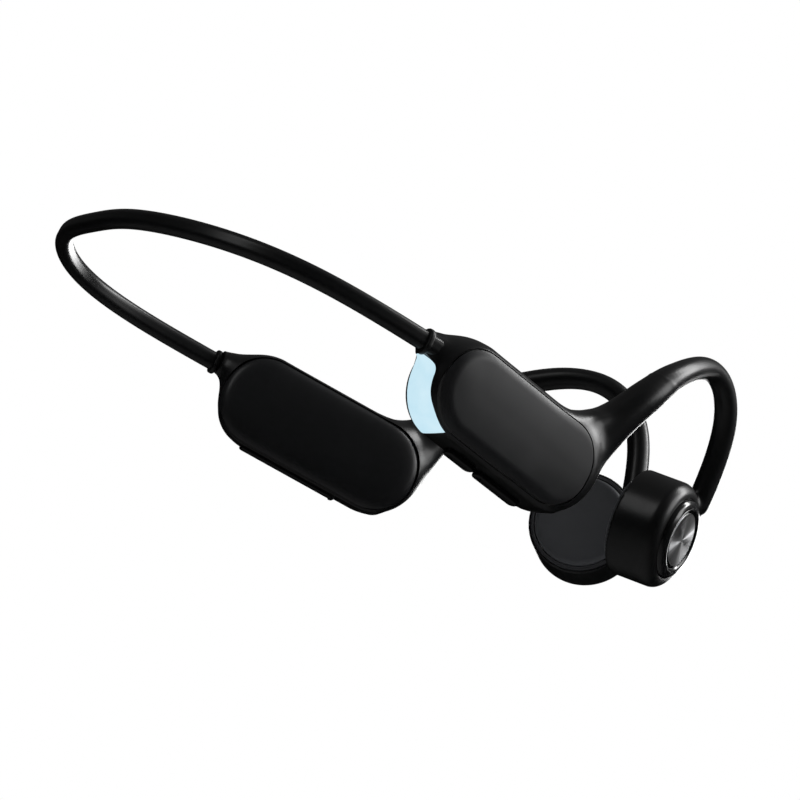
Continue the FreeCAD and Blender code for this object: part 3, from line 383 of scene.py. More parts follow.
def rect_ring(half_x, half_z, radius, x=0.0, z=0.0, corner=14, straight=10):
    """A rounded rectangle's outline, always the same number of points."""
    radius = max(min(radius, half_x - 1e-3, half_z - 1e-3), 1e-3)
    points = []
    for k, (sx, sz) in enumerate(((1, 1), (-1, 1), (-1, -1), (1, -1))):
        cx, cz = sx * (half_x - radius), sz * (half_z - radius)
        for i in range(corner + 1):
            t = math.pi / 2 * (k + i / corner)
            points.append((cx + radius * math.cos(t), cz + radius * math.sin(t)))
        nx, nz = ((-1, 1), (-1, -1), (1, -1), (1, 1))[k]
        end = (nx * (half_x - radius), nz * (half_z - radius))
        tail = (end[0] + radius * math.cos(math.pi / 2 * (k + 1)),
                end[1] + radius * math.sin(math.pi / 2 * (k + 1)))
        head = points[-1]
        for i in range(1, straight):
            s = i / straight
            points.append((head[0] + s * (tail[0] - head[0]), head[1] + s * (tail[1] - head[1])))
    return np.array(points) + (x, z)


def stack(rings, caps=True):
    """Vertices and faces of equal closed rings joined in order, capped at both ends."""
    n = len(rings[0])
    vertices = np.concatenate(rings)
    faces = []
    for k in range(len(rings) - 1):
        for i in range(n):
            j = (i + 1) % n
            faces.append((k * n + i, k * n + j, (k + 1) * n + j, (k + 1) * n + i))
    if caps:
        faces.append(tuple(range(n))[::-1])
        faces.append(tuple((len(rings) - 1) * n + i for i in range(n)))
    return vertices, faces


def turn_outward(vertices, faces):
    """Faces turned so that the closed mesh's volume is positive."""
    total = 0.0
    for f in faces:
        a = vertices[f[0]]
        for i in range(1, len(f) - 1):
            total += np.dot(a, np.cross(vertices[f[i]], vertices[f[i + 1]]))
    return faces if total > 0 else [tuple(f)[::-1] for f in faces]


def pillow(half_x, half_z, radius, profile, plane, x=0.0, z=0.0, **counts):
    """A closed plate: its outline drawn in by each inset of profile (inset, height)."""
    rings = []
    for inset, height in profile:
        ring = rect_ring(half_x - inset, half_z - inset, radius - inset, x, z, **counts)
        rings.append(plane(ring[:, 0], height, ring[:, 1]))
    vertices, faces = stack(rings)
    return vertices, turn_outward(vertices, faces)


def lathe(profile, segments=128, closed=False):
    """A turned piece about the can's axis from (along, radius) points; radius 0 is a pole."""
    angles = np.linspace(0, 2 * math.pi, segments, endpoint=False)
    rows, vertices, faces = [], [], []
    for a, r in profile:
        if r < 1e-6:
            rows.append([len(vertices)] * segments)
            vertices.append(can_point(a, 0.0, 0.0))
        else:
            rows.append(list(range(len(vertices), len(vertices) + segments)))
            vertices.extend(can_point(a, r * math.cos(t), r * math.sin(t)) for t in angles)
    pairs = list(zip(rows[:-1], rows[1:])) + ([(rows[-1], rows[0])] if closed else [])
    for low, high in pairs:
        for i in range(segments):
            j = (i + 1) % segments
            face = [low[i], low[j], high[j], high[i]]
            face = [v for k, v in enumerate(face) if v != face[k - 1]]
            if len(face) > 2:
                faces.append(tuple(face))
    vertices = np.array(vertices)
    return vertices, turn_outward(vertices, faces)


def rounded(points, radius, steps=5):
    """A closed (along, radius) profile with every corner off the axis rounded."""
    out = []
    n = len(points)
    for i in range(n):
        p = np.array(points[i], float)
        before, after = np.array(points[i - 1], float), np.array(points[(i + 1) % n], float)
        if p[1] < 1e-6:
            out.append(tuple(p))
            continue
        back, ahead = before - p, after - p
        lb, la = np.linalg.norm(back), np.linalg.norm(ahead)
        reach = min(radius, 0.45 * lb, 0.45 * la)
        s, e = p + back / lb * reach, p + ahead / la * reach
        for k in range(steps + 1):
            t = k / steps
            out.append(tuple((1 - t) ** 2 * s + 2 * t * (1 - t) * p + t * t * e))
    return out


def sweep(line, section, upward=UP):
    """A closed tube: the section (across, up) carried along a line of points."""
    tangent = np.gradient(line, axis=0)
    tangent /= np.linalg.norm(tangent, axis=1)[:, None]
    side = np.cross(upward, tangent)
    side /= np.linalg.norm(side, axis=1)[:, None]
    top = np.cross(tangent, side)
    rings = []
    for k in range(len(line)):
        shape = section(k / (len(line) - 1)) if callable(section) else section
        rings.append(line[k] + shape[:, :1] * side[k] + shape[:, 1:] * top[k])
    vertices, faces = stack(rings)
    return vertices, turn_outward(vertices, faces)


# ---- materials -------------------------------------------------------------------------

def new_material(name):
    material = bpy.data.materials.new(name)
    material.use_nodes = True
    nodes, links = material.node_tree.nodes, material.node_tree.links
    return material, nodes, links, nodes["Principled BSDF"]


def noise(nodes, links, scale, detail=3.0, roughness=0.55, vector=None):
    node = nodes.new("ShaderNodeTexNoise")
    node.inputs["Scale"].default_value = scale
    node.inputs["Detail"].default_value = detail
    node.inputs["Roughness"].default_value = roughness
    if vector is None:
        vector = nodes.new("ShaderNodeTexCoord").outputs["Object"]
    links.new(vector, node.inputs["Vector"])
    return node


def ramp(nodes, links, factor, stops):
    node = nodes.new("ShaderNodeValToRGB")
    elements = node.color_ramp.elements
    while len(elements) < len(stops):
        elements.new(0.5)
    for element, (place, colour) in zip(elements, stops):
        element.position = place
        element.color = colour if len(colour) == 4 else (*colour, 1)
    links.new(factor, node.inputs["Fac"])
    return node.outputs["Color"]


def spread(nodes, links, factor, low, high):
    node = nodes.new("ShaderNodeMapRange")
    node.inputs["From Min"].default_value, node.inputs["From Max"].default_value = 0.25, 0.75
    node.inputs["To Min"].default_value, node.inputs["To Max"].default_value = low, high
    links.new(factor, node.inputs["Value"])
    return node.outputs["Result"]


def bump(nodes, links, shader, height, strength, distance):
    node = nodes.new("ShaderNodeBump")
    node.inputs["Strength"].default_value = strength
    node.inputs["Distance"].default_value = distance
    links.new(height, node.inputs["Height"])
    links.new(node.outputs["Normal"], shader.inputs["Normal"])


def moulded(name, colour, rough, grain=9000, relief=0.000006, strength=0.35, tone=0.25,
            coat=0.0, coat_rough=0.2, metallic=0.0, specular=0.5, sheen=0.0):
    """Moulded or painted surface: fine grain, uneven tone and gloss, faint handling wear."""
    material, nodes, links, shader = new_material(name)
    cloud = noise(nodes, links, 55, 4)
    dark = [c * (1 - tone) for c in colour]
    light = [c * (1 + tone) for c in colour]
    links.new(ramp(nodes, links, cloud.outputs["Fac"], [(0.3, dark), (0.7, light)]),
              shader.inputs["Base Color"])
    smear = noise(nodes, links, 140, 5, 0.65)
    links.new(spread(nodes, links, smear.outputs["Fac"], rough * 0.88, rough * 1.12),
              shader.inputs["Roughness"])
    fine = noise(nodes, links, grain, 2, 0.5)
    bump(nodes, links, shader, fine.outputs["Fac"], strength, relief)
    shader.inputs["Metallic"].default_value = metallic
    shader.inputs["Specular IOR Level"].default_value = specular
    shader.inputs["Coat Weight"].default_value = coat
    shader.inputs["Coat Roughness"].default_value = coat_rough
    shader.inputs["Sheen Weight"].default_value = sheen
    return material


def brushed(name, colour, rough, stretch=(1, 1, 40)):
    """Drawn or pressed metal: long fine scratches along one axis."""
    material, nodes, links, shader = new_material(name)
    place = nodes.new("ShaderNodeTexCoord").outputs["Object"]
    mapping = nodes.new("ShaderNodeMapping")
    mapping.inputs["Scale"].default_value = stretch
    links.new(place, mapping.inputs["Vector"])
    lines = noise(nodes, links, 900, 4, 0.6, mapping.outputs["Vector"])
    links.new(ramp(nodes, links, lines.outputs["Fac"],
                   [(0.3, [c * 0.8 for c in colour]), (0.7, colour)]), shader.inputs["Base Color"])
    links.new(spread(nodes, links, lines.outputs["Fac"], rough * 0.7, rough * 1.3),
              shader.inputs["Roughness"])
    bump(nodes, links, shader, lines.outputs["Fac"], 0.2, 0.00001)
    shader.inputs["Metallic"].default_value = 1.0
    return material


def spun(name):
    """Circular brushed metal in the disc's own frame, z along its axis. Its colour holds painted
    reflection: bright and dark wedges by angle round the axis, with real radial streaks.
    """
    material, nodes, links, shader = new_material(name)
    place = nodes.new("ShaderNodeTexCoord").outputs["Object"]
    split = nodes.new("ShaderNodeSeparateXYZ")
    links.new(place, split.inputs[0])
    across = nodes.new("ShaderNodeCombineXYZ")
    links.new(split.outputs["X"], across.inputs["X"])
    links.new(split.outputs["Y"], across.inputs["Y"])
    radius = nodes.new("ShaderNodeVectorMath")
    radius.operation = "LENGTH"
    links.new(across.outputs[0], radius.inputs[0])
    line = nodes.new("ShaderNodeCombineXYZ")
    links.new(radius.outputs["Value"], line.inputs["X"])
    groove = noise(nodes, links, 9000, 3, 0.6, line.outputs[0])
    angle = nodes.new("ShaderNodeMath")
    angle.operation = "ARCTAN2"
    links.new(split.outputs["Y"], angle.inputs[0])
    links.new(split.outputs["X"], angle.inputs[1])
    turn = nodes.new("ShaderNodeCombineXYZ")
    links.new(angle.outputs[0], turn.inputs["X"])
    streak = noise(nodes, links, 7, 4, 0.6, turn.outputs[0])
    # painted reflection: |cos| of the angle round the axis gives bright wedges along the disc's x
    # and dark wedges along its y, laid into the colour in place of spun metal's bow-tie highlights
    painted_reflection_wave = nodes.new("ShaderNodeMath")
    painted_reflection_wave.operation = "COSINE"
    links.new(angle.outputs[0], painted_reflection_wave.inputs[0])
    size = nodes.new("ShaderNodeMath")
    size.operation = "ABSOLUTE"
    links.new(painted_reflection_wave.outputs[0], size.inputs[0])
    streaks_and_painted_reflection = nodes.new("ShaderNodeMath")
    streaks_and_painted_reflection.operation = "MULTIPLY_ADD"
    streaks_and_painted_reflection.inputs[1].default_value = 0.5
    links.new(streak.outputs["Fac"], streaks_and_painted_reflection.inputs[0])
    links.new(size.outputs[0], streaks_and_painted_reflection.inputs[2])
    # the ramp turns the streaks and the painted reflection wedges into colour, from near black to
    # pale grey
    links.new(ramp(nodes, links, streaks_and_painted_reflection.outputs[0],
                   [(0.52, (0.012, 0.012, 0.013)), (0.74, (0.10, 0.10, 0.105)),
                    (0.92, (0.45, 0.455, 0.465)), (1.0, (0.80, 0.805, 0.82))]),
              shader.inputs["Base Color"])
    links.new(spread(nodes, links, groove.outputs["Fac"], 0.25, 0.36), shader.inputs["Roughness"])
    bump(nodes, links, shader, groove.outputs["Fac"], 0.15, 0.000004)
    shader.inputs["Metallic"].default_value = 1.0
    shader.inputs["Anisotropic"].default_value = 0.92
    tangent = nodes.new("ShaderNodeTangent")
    tangent.direction_type, tangent.axis = "RADIAL", "Z"
    links.new(tangent.outputs[0], shader.inputs["Tangent"])
    return material


def board_material():
    material, nodes, links, shader = new_material("solder_mask")
    cells = nodes.new("ShaderNodeTexVoronoi")
    cells.inputs["Scale"].default_value = 900
    links.new(nodes.new("ShaderNodeTexCoord").outputs["Object"], cells.inputs["Vector"])
    links.new(ramp(nodes, links, cells.outputs["Distance"],
                   [(0.1, (0.35, 0.3, 0.12)), (0.2, (0.01, 0.13, 0.05)),
                    (1.0, (0.01, 0.10, 0.04))]),
              shader.inputs["Base Color"])
    shader.inputs["Roughness"].default_value = 0.35
    bump(nodes, links, shader, cells.outputs["Distance"], 0.3, 0.00002)
    return material


def window_material():
    """Pale blue translucent window, lit from inside: its glow uneven at random."""
    material, nodes, links, shader = new_material("light_window")
    cloud = noise(nodes, links, 160, 3)
    links.new(ramp(nodes, links, cloud.outputs["Fac"],
                   [(0.3, (0.03, 0.05, 0.06)), (0.7, (0.04, 0.06, 0.07))]),
              shader.inputs["Base Color"])
    links.new(ramp(nodes, links, cloud.outputs["Fac"],
                   [(0.3, (0.54, 0.77, 0.88)), (0.7, (0.62, 0.82, 0.91))]),
              shader.inputs["Emission Color"])
    shader.inputs["Emission Strength"].default_value = 1.0
    shader.inputs["Roughness"].default_value = 0.25
    return material


MATERIALS = {
    "shell": moulded("shell_black", (0.0050, 0.0052, 0.0058), 0.30),
    "cover_plate": moulded("plate_graphite", (0.0105, 0.0110, 0.0125), 0.40, grain=14000, tone=0.12,
                           relief=0.000004),
    "inner_panel": moulded("panel_black", (0.0100, 0.0105, 0.0118), 0.36, tone=0.15),
    "foam": moulded("foam_black", (0.02, 0.02, 0.02), 0.9, 2500, 0.00005),
    "collar": moulded("collar_black", (0.004, 0.0042, 0.0046), 0.42),
    "sleeve": moulded("sleeve_silicone", (0.0050, 0.0052, 0.0058), 0.33, grain=11000, tone=0.2),
    "spring_steel": brushed("spring_steel", (0.55, 0.55, 0.56), 0.3),
    "cable": moulded("cable_jacket", (0.05, 0.05, 0.055), 0.6),
    "barrel": moulded("barrel_black", (0.0048, 0.0050, 0.0055), 0.32),
    "pad": moulded("pad_silicone", (0.050, 0.053, 0.060), 0.55, grain=7000, tone=0.08, sheen=0.1),
    "lip_ring": moulded("lip_grey", (0.03, 0.031, 0.035), 0.4),
    "carrier": moulded("carrier_grey", (0.2, 0.2, 0.21), 0.5),
    "copper": brushed("copper_winding", (0.72, 0.38, 0.2), 0.35),
    "magnet": brushed("nickel_plate", (0.7, 0.7, 0.71), 0.2),
    "yoke_steel": brushed("pressed_steel", (0.5, 0.5, 0.52), 0.35),
    "trim": moulded("trim_gloss", (0.0045, 0.0047, 0.0052), 0.2, grain=5000, relief=0.000002,
                    coat=0.4, coat_rough=0.12),
    "spun_metal": spun("spun_metal"),
    "switch": moulded("switch_body", (0.1, 0.1, 0.1), 0.5),
    "circuit_board": board_material(),
    "fastener": brushed("fastener_steel", (0.6, 0.6, 0.6), 0.3),
    "microphone": brushed("microphone_can", (0.65, 0.62, 0.55), 0.3),
    "light_window": window_material(),
    "lamp": moulded("lamp_epoxy", (0.85, 0.9, 0.95), 0.2),
    "button": moulded("button_black", (0.0050, 0.0052, 0.0057), 0.33),
    "socket_steel": brushed("socket_steel", (0.6, 0.6, 0.6), 0.25),
    "tongue": moulded("tongue_black", (0.03, 0.03, 0.03), 0.5),
    "battery_pouch": brushed("pouch_foil", (0.6, 0.61, 0.63), 0.3, (1, 1, 1)),
    "port_cover": moulded("port_cover_silicone", (0.0048, 0.0050, 0.0055), 0.40),
}
for entry in frame["record"]["subparts"]:
    item = frame["nodes"][entry["node"]]
    item.data.materials.clear()
    item.data.materials.append(MATERIALS[entry["material_slot"]])


# ---- the two skins ---------------------------------------------------------------------

CELL = 0.45
SKIN = skin_mesh(side_field, (-31, -62, -15), (82, -3, 51), CELL)
COLLAR_CENTRE = np.array([-27.8, -55.2, 4.1])
BAND_DIRECTION = np.array([-0.994, -0.105, -0.044])
lower = cut_plane(*SKIN, (0, 0, ROOT_TOP), (0, 0, 1))
upper = cut_plane(*SKIN, (0, 0, ROOT_TOP), (0, 0, -1))
parts = sorted(islands(*lower), key=lambda part: part[0][:, 0].min())
housing_skin = cut_plane(*parts[0], COLLAR_CENTRE - 0.75 * BAND_DIRECTION, BAND_DIRECTION)
barrel_skin = parts[-1]


def prism(name, outline, low, high, plane, side):
    """A cutter: an outline in a plane, between two distances along its normal."""
    rings = [plane(outline[:, 0], np.full(len(outline), h), outline[:, 1]) for h in (low, high)]
    vertices, faces = stack(rings)
    return make_mesh(name, vertices, turn_outward(vertices, faces), side)


def on_side(x, o, z):
    return pod_point(x, o, z)


def on_floor(x, z, o):
    return pod_point(x, o, z)


def on_slope(x, z, o):
    """As on_floor, following the underside's slope across the pod."""
    return pod_point(x, o, z + 0.3 + 0.13 * o)


def along_pod(o, x, z):
    return pod_point(x, o, z)


UNDERSIDE = 0.3 - 11.8
BUTTON_SHIFT = -1.6                            # across the pod, towards the head
# the window's outline across the pod (outwards, up), seen from its rear end
WINDOW = [(-4.6, 0.2), (-4.6, -13.5), (3.5, -13.5), (3.5, -10.5), (3.5, -8.0), (2.5, -5.0),
          (2.5, -2.2), (2.9, -0.4), (2.4, 1.0), (0.4, 1.7), (-2.4, 1.5)]


def soften(points, rounds=3):
    points = np.array(points, float)
    for _ in range(rounds):
        ahead = np.roll(points, -1, 0)
        points = np.stack([0.75 * points + 0.25 * ahead, 0.25 * points + 0.75 * ahead], 1)
        points = points.reshape(-1, 2)
    return points


def button_shape(length, width, x, extra=0.0):
    return rect_ring(length / 2 + extra, width / 2 + extra, width / 2 + extra - 0.02, x,
                     BUTTON_SHIFT)


def make_housing(side):
    word = "right" if side < 0 else "left"
    housing = make_mesh(word + "_housing_shell", *housing_skin, side)
    tools = [
        prism("t", rect_ring(23.58, 9.98, 9.28), 4.3, 8, on_side, side),
        prism("t", rect_ring(25.65, 10.95, 10.45, 0.8, 0.0), -8, -3.9, on_side, side),
        prism("t", rect_ring(21.8, 8.3, 7.4), -4.4, 4.4, on_side, side),
        prism("t", rect_ring(1.78, 2.25, 1.65), -40, -21, along_pod, side),
    ]
    if side < 0:
        tools += [prism("t", button_shape(9.0, 3.0, -4.4, 0.15), -14, -8, on_floor, side),
                  prism("t", button_shape(14.4, 3.0, 8.1, 0.15), -14, -8, on_floor, side),
                  prism("t", soften(WINDOW), -31, -15.2, along_pod, side)]
    else:
        tools += [prism("t", rect_ring(12.65, 2.65, 1.2, -1.6), -14, UNDERSIDE + 0.85, on_slope,
                        side),
                  prism("t", rect_ring(1.25, 2.6, 0.1, 10.8), -14, UNDERSIDE + 1.7, on_floor,
                        side),
                  prism("t", rect_ring(4.52, 1.68, 1.6, -7.0), -14, -5.4, on_floor, side)]
    for tool in tools:
        boolean(housing, tool)
        remove(tool)
    return finish_piece(housing, "headset", "shell", MATERIALS["shell"], word + "_pod_housing")


# the inner panel is a lid: insets from the housing's outline and heights off the pod's middle
LID = ([(1.0, 3.94), (0.62, 4.0)]
       + [(float(inset), float(height)) for inset, height in zip(
           ease(np.linspace(0, 8, 25), range(9), (0.62, 0.68, 0.95, 1.5, 2.5, 4.2, 6.5, 8.8, 11.2)),
           ease(np.linspace(0, 8, 25), range(9), (4.1, 4.5, 5.1, 5.65, 6.1, 6.42, 6.62, 6.72,
                                                  6.76)))])


def make_covers(side):
    word = "right" if side < 0 else "left"
    plate = make_mesh(word + "_plate_crowned", *housing_skin, side)
    outline = prism("t", rect_ring(23.24, 9.64, 8.94), 4.35, 8, on_side, side)
    boolean(plate, outline, "INTERSECT")
    remove(outline)
    finish_piece(plate, "headset", "cover_plate", MATERIALS["cover_plate"],
                 word + "_outer_cover_plate")

    def inner(x, o, z):
        return pod_point(x, -o, z)
    vertices, faces = pillow(26.2, 11.5, 11.0, LID, inner, 0.8, 0.0)
    panel = make_mesh(word + "_panel_crowned", vertices, faces, side)
    finish_piece(panel, "headset", "inner_panel", MATERIALS["inner_panel"],
                 word + "_inner_cover_panel")


for SIDE in (-1, 1):
    make_housing(SIDE)
    make_covers(SIDE)


# ---- hooks and barrels -----------------------------------------------------------------

RING_SEAT = [(15.0, 0.0), (15.0, 9.72), (11.1, 9.72), (11.1, 9.2), (9.9, 9.2), (9.9, 11.3),
             (2.6, 11.3), (2.6, 12.25), (-2.0, 12.25), (-2.0, 0.0)]
for SIDE in (-1, 1):
    WORD = "right" if SIDE < 0 else "left"
    hook = make_mesh(WORD + "_hook_sleeve", *upper, SIDE)
    finish_piece(hook, "headset", "sleeve", MATERIALS["sleeve"], WORD + "_ear_hook")
    barrel = make_mesh(WORD + "_barrel_shell", *barrel_skin, SIDE)
    seat = make_mesh("t", *lathe(RING_SEAT, 96), SIDE)
    boolean(barrel, seat)
    remove(seat)
    finish_piece(barrel, "headset", "barrel", MATERIALS["barrel"], WORD + "_barrel")

    PAD = [(2.0, 0.0), (2.0, 11.02), (0.6, 11.12), (-0.1, 11.08), (-0.6, 10.9), (-0.98, 10.5),
           (-1.22, 9.9), (-1.36, 9.0), (-1.45, 7.5), (-1.52, 5.5), (-1.58, 3.0), (-1.6, 0.0)]
    pad = make_mesh(WORD + "_pad_crowned", *lathe(PAD), SIDE)
    finish_piece(pad, "headset", "pad", MATERIALS["pad"], WORD + "_skin_pad")
    lip = make_mesh(WORD + "_lip_ring_rounded", *lathe(
        rounded([(2.4, 11.25), (-0.1, 11.25), (0.15, 12.13), (2.4, 12.13)], 0.3), closed=True),
        SIDE)
    finish_piece(lip, "headset", "lip_ring", MATERIALS["lip_ring"], WORD + "_pad_lip_ring")
    ring = make_mesh(WORD + "_trim_ring_convex", *lathe(
        rounded([(11.15, 9.6), (11.15, 6.75), (13.2, 6.75), (13.75, 7.7), (13.2, 9.1),
                 (12.3, 9.6)], 0.8), closed=True), SIDE)
    finish_piece(ring, "headset", "trim", MATERIALS["trim"], WORD + "_trim_ring")


def make_disc(side, body, node, name):
    """The spun metal disc, made in its own frame so that its grooves run round it."""
    profile = rounded([(0.0, 0.0), (0.0, 6.55), (0.9, 6.55), (0.97, 0.0)], 0.18)
    segments = 160
    bm = bmesh.new()
    rows = []
    for a, r in profile:
        if r < 1e-6:
            rows.append([bm.verts.new((0, 0, a * MM))] * segments)
        else:
            rows.append([bm.verts.new((r * MM * math.cos(t), r * MM * math.sin(t), a * MM))
                         for t in np.linspace(0, 2 * math.pi, segments, endpoint=False)])
    for low, high in zip(rows[:-1], rows[1:]):
        for i in range(segments):
            face = [low[i], low[(i + 1) % segments], high[(i + 1) % segments], high[i]]
            face = [v for k, v in enumerate(face) if v is not face[k - 1]]
            if len(face) > 2:
                bm.faces.new(face)
    bmesh.ops.recalc_face_normals(bm, faces=bm.faces[:])
    mesh = bpy.data.meshes.new(name)
    bm.to_mesh(mesh)
    bm.free()
    obj = bpy.data.objects.new(name, mesh)
    bpy.context.scene.collection.objects.link(obj)
    axis, across = CAN_AXIS * (1, -side, 1), CAN_SIDE * (1, -side, 1)
    base = to_row(can_point(12.55, 0.0, 0.0), side)[0]
    third = np.cross(axis, across)
    obj.matrix_world = Matrix([[*row, base[i]] for i, row in
                               enumerate(np.stack([across, third, axis], 1))] + [[0, 0, 0, 1]])
    return finish_piece(obj, body, "spun_metal", MATERIALS["spun_metal"], node, angle=25)


make_disc(-1, "multifunction_key", "multifunction_button", "right_button_disc_spun")
make_disc(1, "headset", "left_metal_cap", "left_cap_disc_spun")


# ---- neckband --------------------------------------------------------------------------

BAND = band_line(260)
SECTION = rect_ring(1.75, 2.22, 1.6, corner=9, straight=4)
band = make_mesh("neckband_tube", *sweep(BAND, SECTION))
finish_piece(band, "headset", "sleeve", MATERIALS["sleeve"], "neckband_sleeve")

for SIDE in (-1, 1):
    WORD = "right" if SIDE < 0 else "left"
    steps = [(-0.75, 0.9), (-0.7, 0.95), (-0.52, 0.99), (-0.3, 1.0), (0.1, 1.0), (0.3, 0.99),
             (0.44, 0.95), (0.5, 0.9)]
    line = np.array([COLLAR_CENTRE + t * BAND_DIRECTION for t, _ in steps])
    shape = rect_ring(2.45, 2.98, 2.3, corner=9, straight=4)
    scales = [k for _, k in steps]
    collar = make_mesh(WORD + "_collar_rounded", *sweep(
        line, lambda t: shape * np.interp(t, np.linspace(0, 1, len(scales)), scales)), SIDE)
    finish_piece(collar, "headset", "collar", MATERIALS["collar"], WORD + "_neck_collar")


# ---- buttons, window and port cover ----------------------------------------------------

def make_cap(name, length, width, x, low, high, body, slot, node, side, marks, edge=0.45):
    """A pressed key on the underside, with a raised minus or plus near its rear end."""
    rows = [(0.3, high), (0.0, high - 0.2), (0.0, low + edge)]
    for k in range(1, 7):
        t = math.pi / 2 * k / 6
        rows.append((edge * (1 - math.cos(t)), low + edge - edge * math.sin(t)))
    rows += [(edge + 0.4, low - 0.03), (width / 2 - 0.1, low - 0.06)]
    vertices, faces = pillow(length / 2, width / 2, width / 2 - 0.02, rows, on_slope, x,
                             BUTTON_SHIFT)
    cap = make_mesh(name, vertices, faces, side)
    for long, wide in marks:
        mark = prism("t", rect_ring(long / 2, wide / 2, 0.15, x - length / 2 + 1.9,
                                    BUTTON_SHIFT), low - 0.17, low + 0.3, on_slope, side)
        boolean(cap, mark, "UNION")
        remove(mark)
    return finish_piece(cap, body, slot, MATERIALS[slot], node)


make_cap("volume_down_cap", 9.0, 3.0, -4.4, UNDERSIDE - 0.75, -8.3, "volume_down_key", "button",
         "volume_down_button", -1, [(1.5, 0.34)])
make_cap("volume_up_cap", 14.4, 3.0, 8.1, UNDERSIDE - 0.75, -8.3, "volume_up_key", "button",
         "volume_up_button", -1, [(1.5, 0.34), (0.34, 1.5)])

# the port cover, drawn on the right and mirrored: a rounded leaf and its hinge knuckle
COVER_LOW = UNDERSIDE - 0.4
rows = [(0.3, COVER_LOW + 1.08), (0.0, COVER_LOW + 0.9), (0.0, COVER_LOW + 0.5)]
rows += [(0.5 * (1 - math.cos(t)), COVER_LOW + 0.5 * (1 - math.sin(t)))
         for t in np.linspace(0, math.pi / 2, 7)[1:]]
rows += [(1.0, COVER_LOW - 0.03), (2.35, COVER_LOW - 0.07)]
leaf = make_mesh("port_cover_leaf", *pillow(12.5, 2.5, 1.0, rows, on_slope, -1.6, 0.0), 1)
turns = np.linspace(0, 2 * math.pi, 48, endpoint=False)
rings = [pod_point(10.9 + radius * np.cos(turns), np.full(48, o),
                   UNDERSIDE + 0.95 + radius * np.sin(turns))
         for o, radius in ((-2.45, 0.8), (-2.35, 0.9), (2.35, 0.9), (2.45, 0.8))]
vertices, faces = stack(rings)
knuckle = make_mesh("t", vertices, turn_outward(vertices, faces), 1)
boolean(leaf, knuckle, "UNION")
remove(knuckle)
finish_piece(leaf, "port_flap", "port_cover", MATERIALS["port_cover"], "port_cover")

window = make_mesh("light_window_lens", *housing_skin, -1)
region = prism("t", soften(WINDOW) * 0.994 + (0, 0.0), -31, -15.25, along_pod, -1)
boolean(window, region, "INTERSECT")
remove(region)
finish_piece(window, "headset", "light_window", MATERIALS["light_window"], "light_window")


# ---- stage, lights and camera ----------------------------------------------------------

def soft_light(name, target, toward, distance, size, power, shape=None, colour=(1, 1, 1)):
    """An area light that faces a point from a direction."""
    lamp = bpy.data.lights.new(name, "AREA")
    lamp.energy, lamp.color = power, colour
    lamp.shape = "RECTANGLE"
    lamp.size, lamp.size_y = size
    obj = bpy.data.objects.new(name, lamp)
    toward = Vector(toward).normalized()
    obj.location = Vector(target) + toward * distance
    obj.rotation_euler = toward.to_track_quat("Z", "Y").to_euler()
    obj.visible_camera = False
    bpy.context.scene.collection.objects.link(obj)
    return obj


TARGET = Vector(to_row(np.array([0, 0, 10.0]))[0])
soft_light("overhead", TARGET, (0.62, -0.05, 0.78), 0.75, (0.16, 0.5), 3.0)
soft_light("front_right", TARGET, (0.74, -0.42, 0.56), 0.8, (0.5, 0.36), 1.7)
soft_light("behind", TARGET, (0.62, 0.74, 0.25), 0.8, (0.6, 0.14), 1.6)
soft_light("rear_left", TARGET, (-0.8, -0.3, 0.35), 0.9, (0.2, 0.5), 0.6)

world = bpy.data.worlds.new("studio")
bpy.context.scene.world = world
world.use_nodes = True
wn, wl = world.node_tree.nodes, world.node_tree.links
back = wn["Background"]
sky = wn.new("ShaderNodeTexCoord")
height = wn.new("ShaderNodeSeparateXYZ")
wl.new(sky.outputs["Generated"], height.inputs[0])
shade = wn.new("ShaderNodeValToRGB")
for _ in range(3):
    shade.color_ramp.elements.new(0.5)
for element, (place, level) in zip(shade.color_ramp.elements, (
        (0.0, 0.16), (0.12, 0.10), (0.3, 0.0), (0.55, 0.008), (1.0, 0.12))):
    element.position, element.color = place, (level, level, level, 1)
lift = wn.new("ShaderNodeMath")
lift.operation = "MULTIPLY_ADD"
lift.inputs[1].default_value, lift.inputs[2].default_value = 0.5, 0.5
wl.new(height.outputs["Z"], lift.inputs[0])
wl.new(lift.outputs[0], shade.inputs["Fac"])
white = wn.new("ShaderNodeBackground")
white.inputs["Color"].default_value = (1, 1, 1, 1)
path = wn.new("ShaderNodeLightPath")
choose = wn.new("ShaderNodeMixShader")
wl.new(shade.outputs["Color"], back.inputs["Color"])
wl.new(path.outputs["Is Camera Ray"], choose.inputs["Fac"])
wl.new(back.outputs[0], choose.inputs[1])
wl.new(white.outputs[0], choose.inputs[2])
wl.new(choose.outputs[0], wn["World Output"].inputs["Surface"])

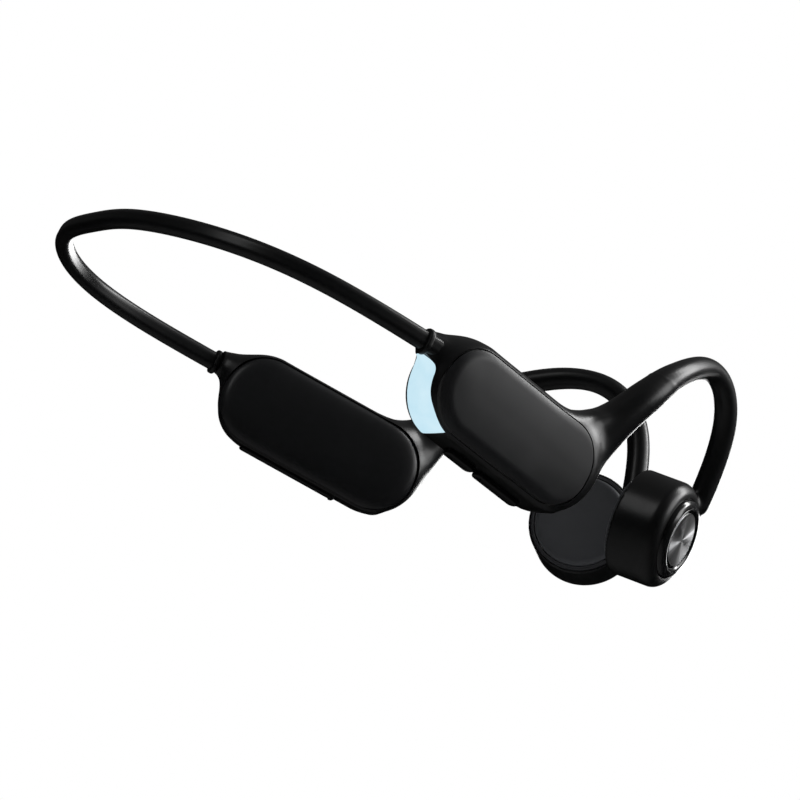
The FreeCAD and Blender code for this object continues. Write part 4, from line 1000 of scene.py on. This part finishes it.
floor_mesh = bpy.data.meshes.new("floor")
floor_mesh.from_pydata([(-1.5, -1.5, 0), (1.5, -1.5, 0), (1.5, 1.5, 0), (-1.5, 1.5, 0)], [],
                       [(0, 1, 2, 3)])
floor = bpy.data.objects.new("studio_floor", floor_mesh)
floor.location.z = -0.0005
bpy.context.scene.collection.objects.link(floor)
pale, fn, fl, fs = new_material("floor_pale")
fs.inputs["Base Color"].default_value = (0.86, 0.86, 0.86, 1)
fs.inputs["Roughness"].default_value = 0.9
side_of = fn.new("ShaderNodeNewGeometry")
clear = fn.new("ShaderNodeBsdfTransparent")
pick = fn.new("ShaderNodeMixShader")
fl.new(side_of.outputs["Backfacing"], pick.inputs["Fac"])
fl.new(fs.outputs[0], pick.inputs[1])
fl.new(clear.outputs[0], pick.inputs[2])
fl.new(pick.outputs[0], fn["Material Output"].inputs["Surface"])
floor.data.materials.append(pale)
floor.visible_glossy = False

# the camera looks up a little at the headset, rolled to the photograph's tilt
AZIMUTH, RISE, ROLL, DISTANCE = (math.radians(22.78), math.radians(14.18), math.radians(27.24),
                                 882.15)
back_way = np.array([-math.sin(AZIMUTH) * math.cos(RISE), -math.cos(AZIMUTH) * math.cos(RISE),
                     -math.sin(RISE)])
level = np.cross(-back_way, UP)
level /= np.linalg.norm(level)
above = np.cross(level, -back_way)
right = math.cos(ROLL) * level + math.sin(ROLL) * above
upright = -math.sin(ROLL) * level + math.cos(ROLL) * above
camera = bpy.data.objects.new("camera", bpy.data.cameras.new("camera"))
bpy.context.scene.collection.objects.link(camera)
camera.data.sensor_width = 36
camera.data.lens = 36 * 4.4 * DISTANCE / 800
camera.data.clip_end = 20
camera.data.shift_x, camera.data.shift_y = -1.93 / 800, 30.38 / 800
place = to_row(back_way * DISTANCE)[0]
camera.matrix_world = Matrix([[*row, place[i]] for i, row in
                              enumerate(np.stack([right, upright, back_way], 1))]
                             + [[0, 0, 0, 1]])
bpy.context.scene.camera = camera
bpy.context.scene.view_settings.view_transform = "Standard"
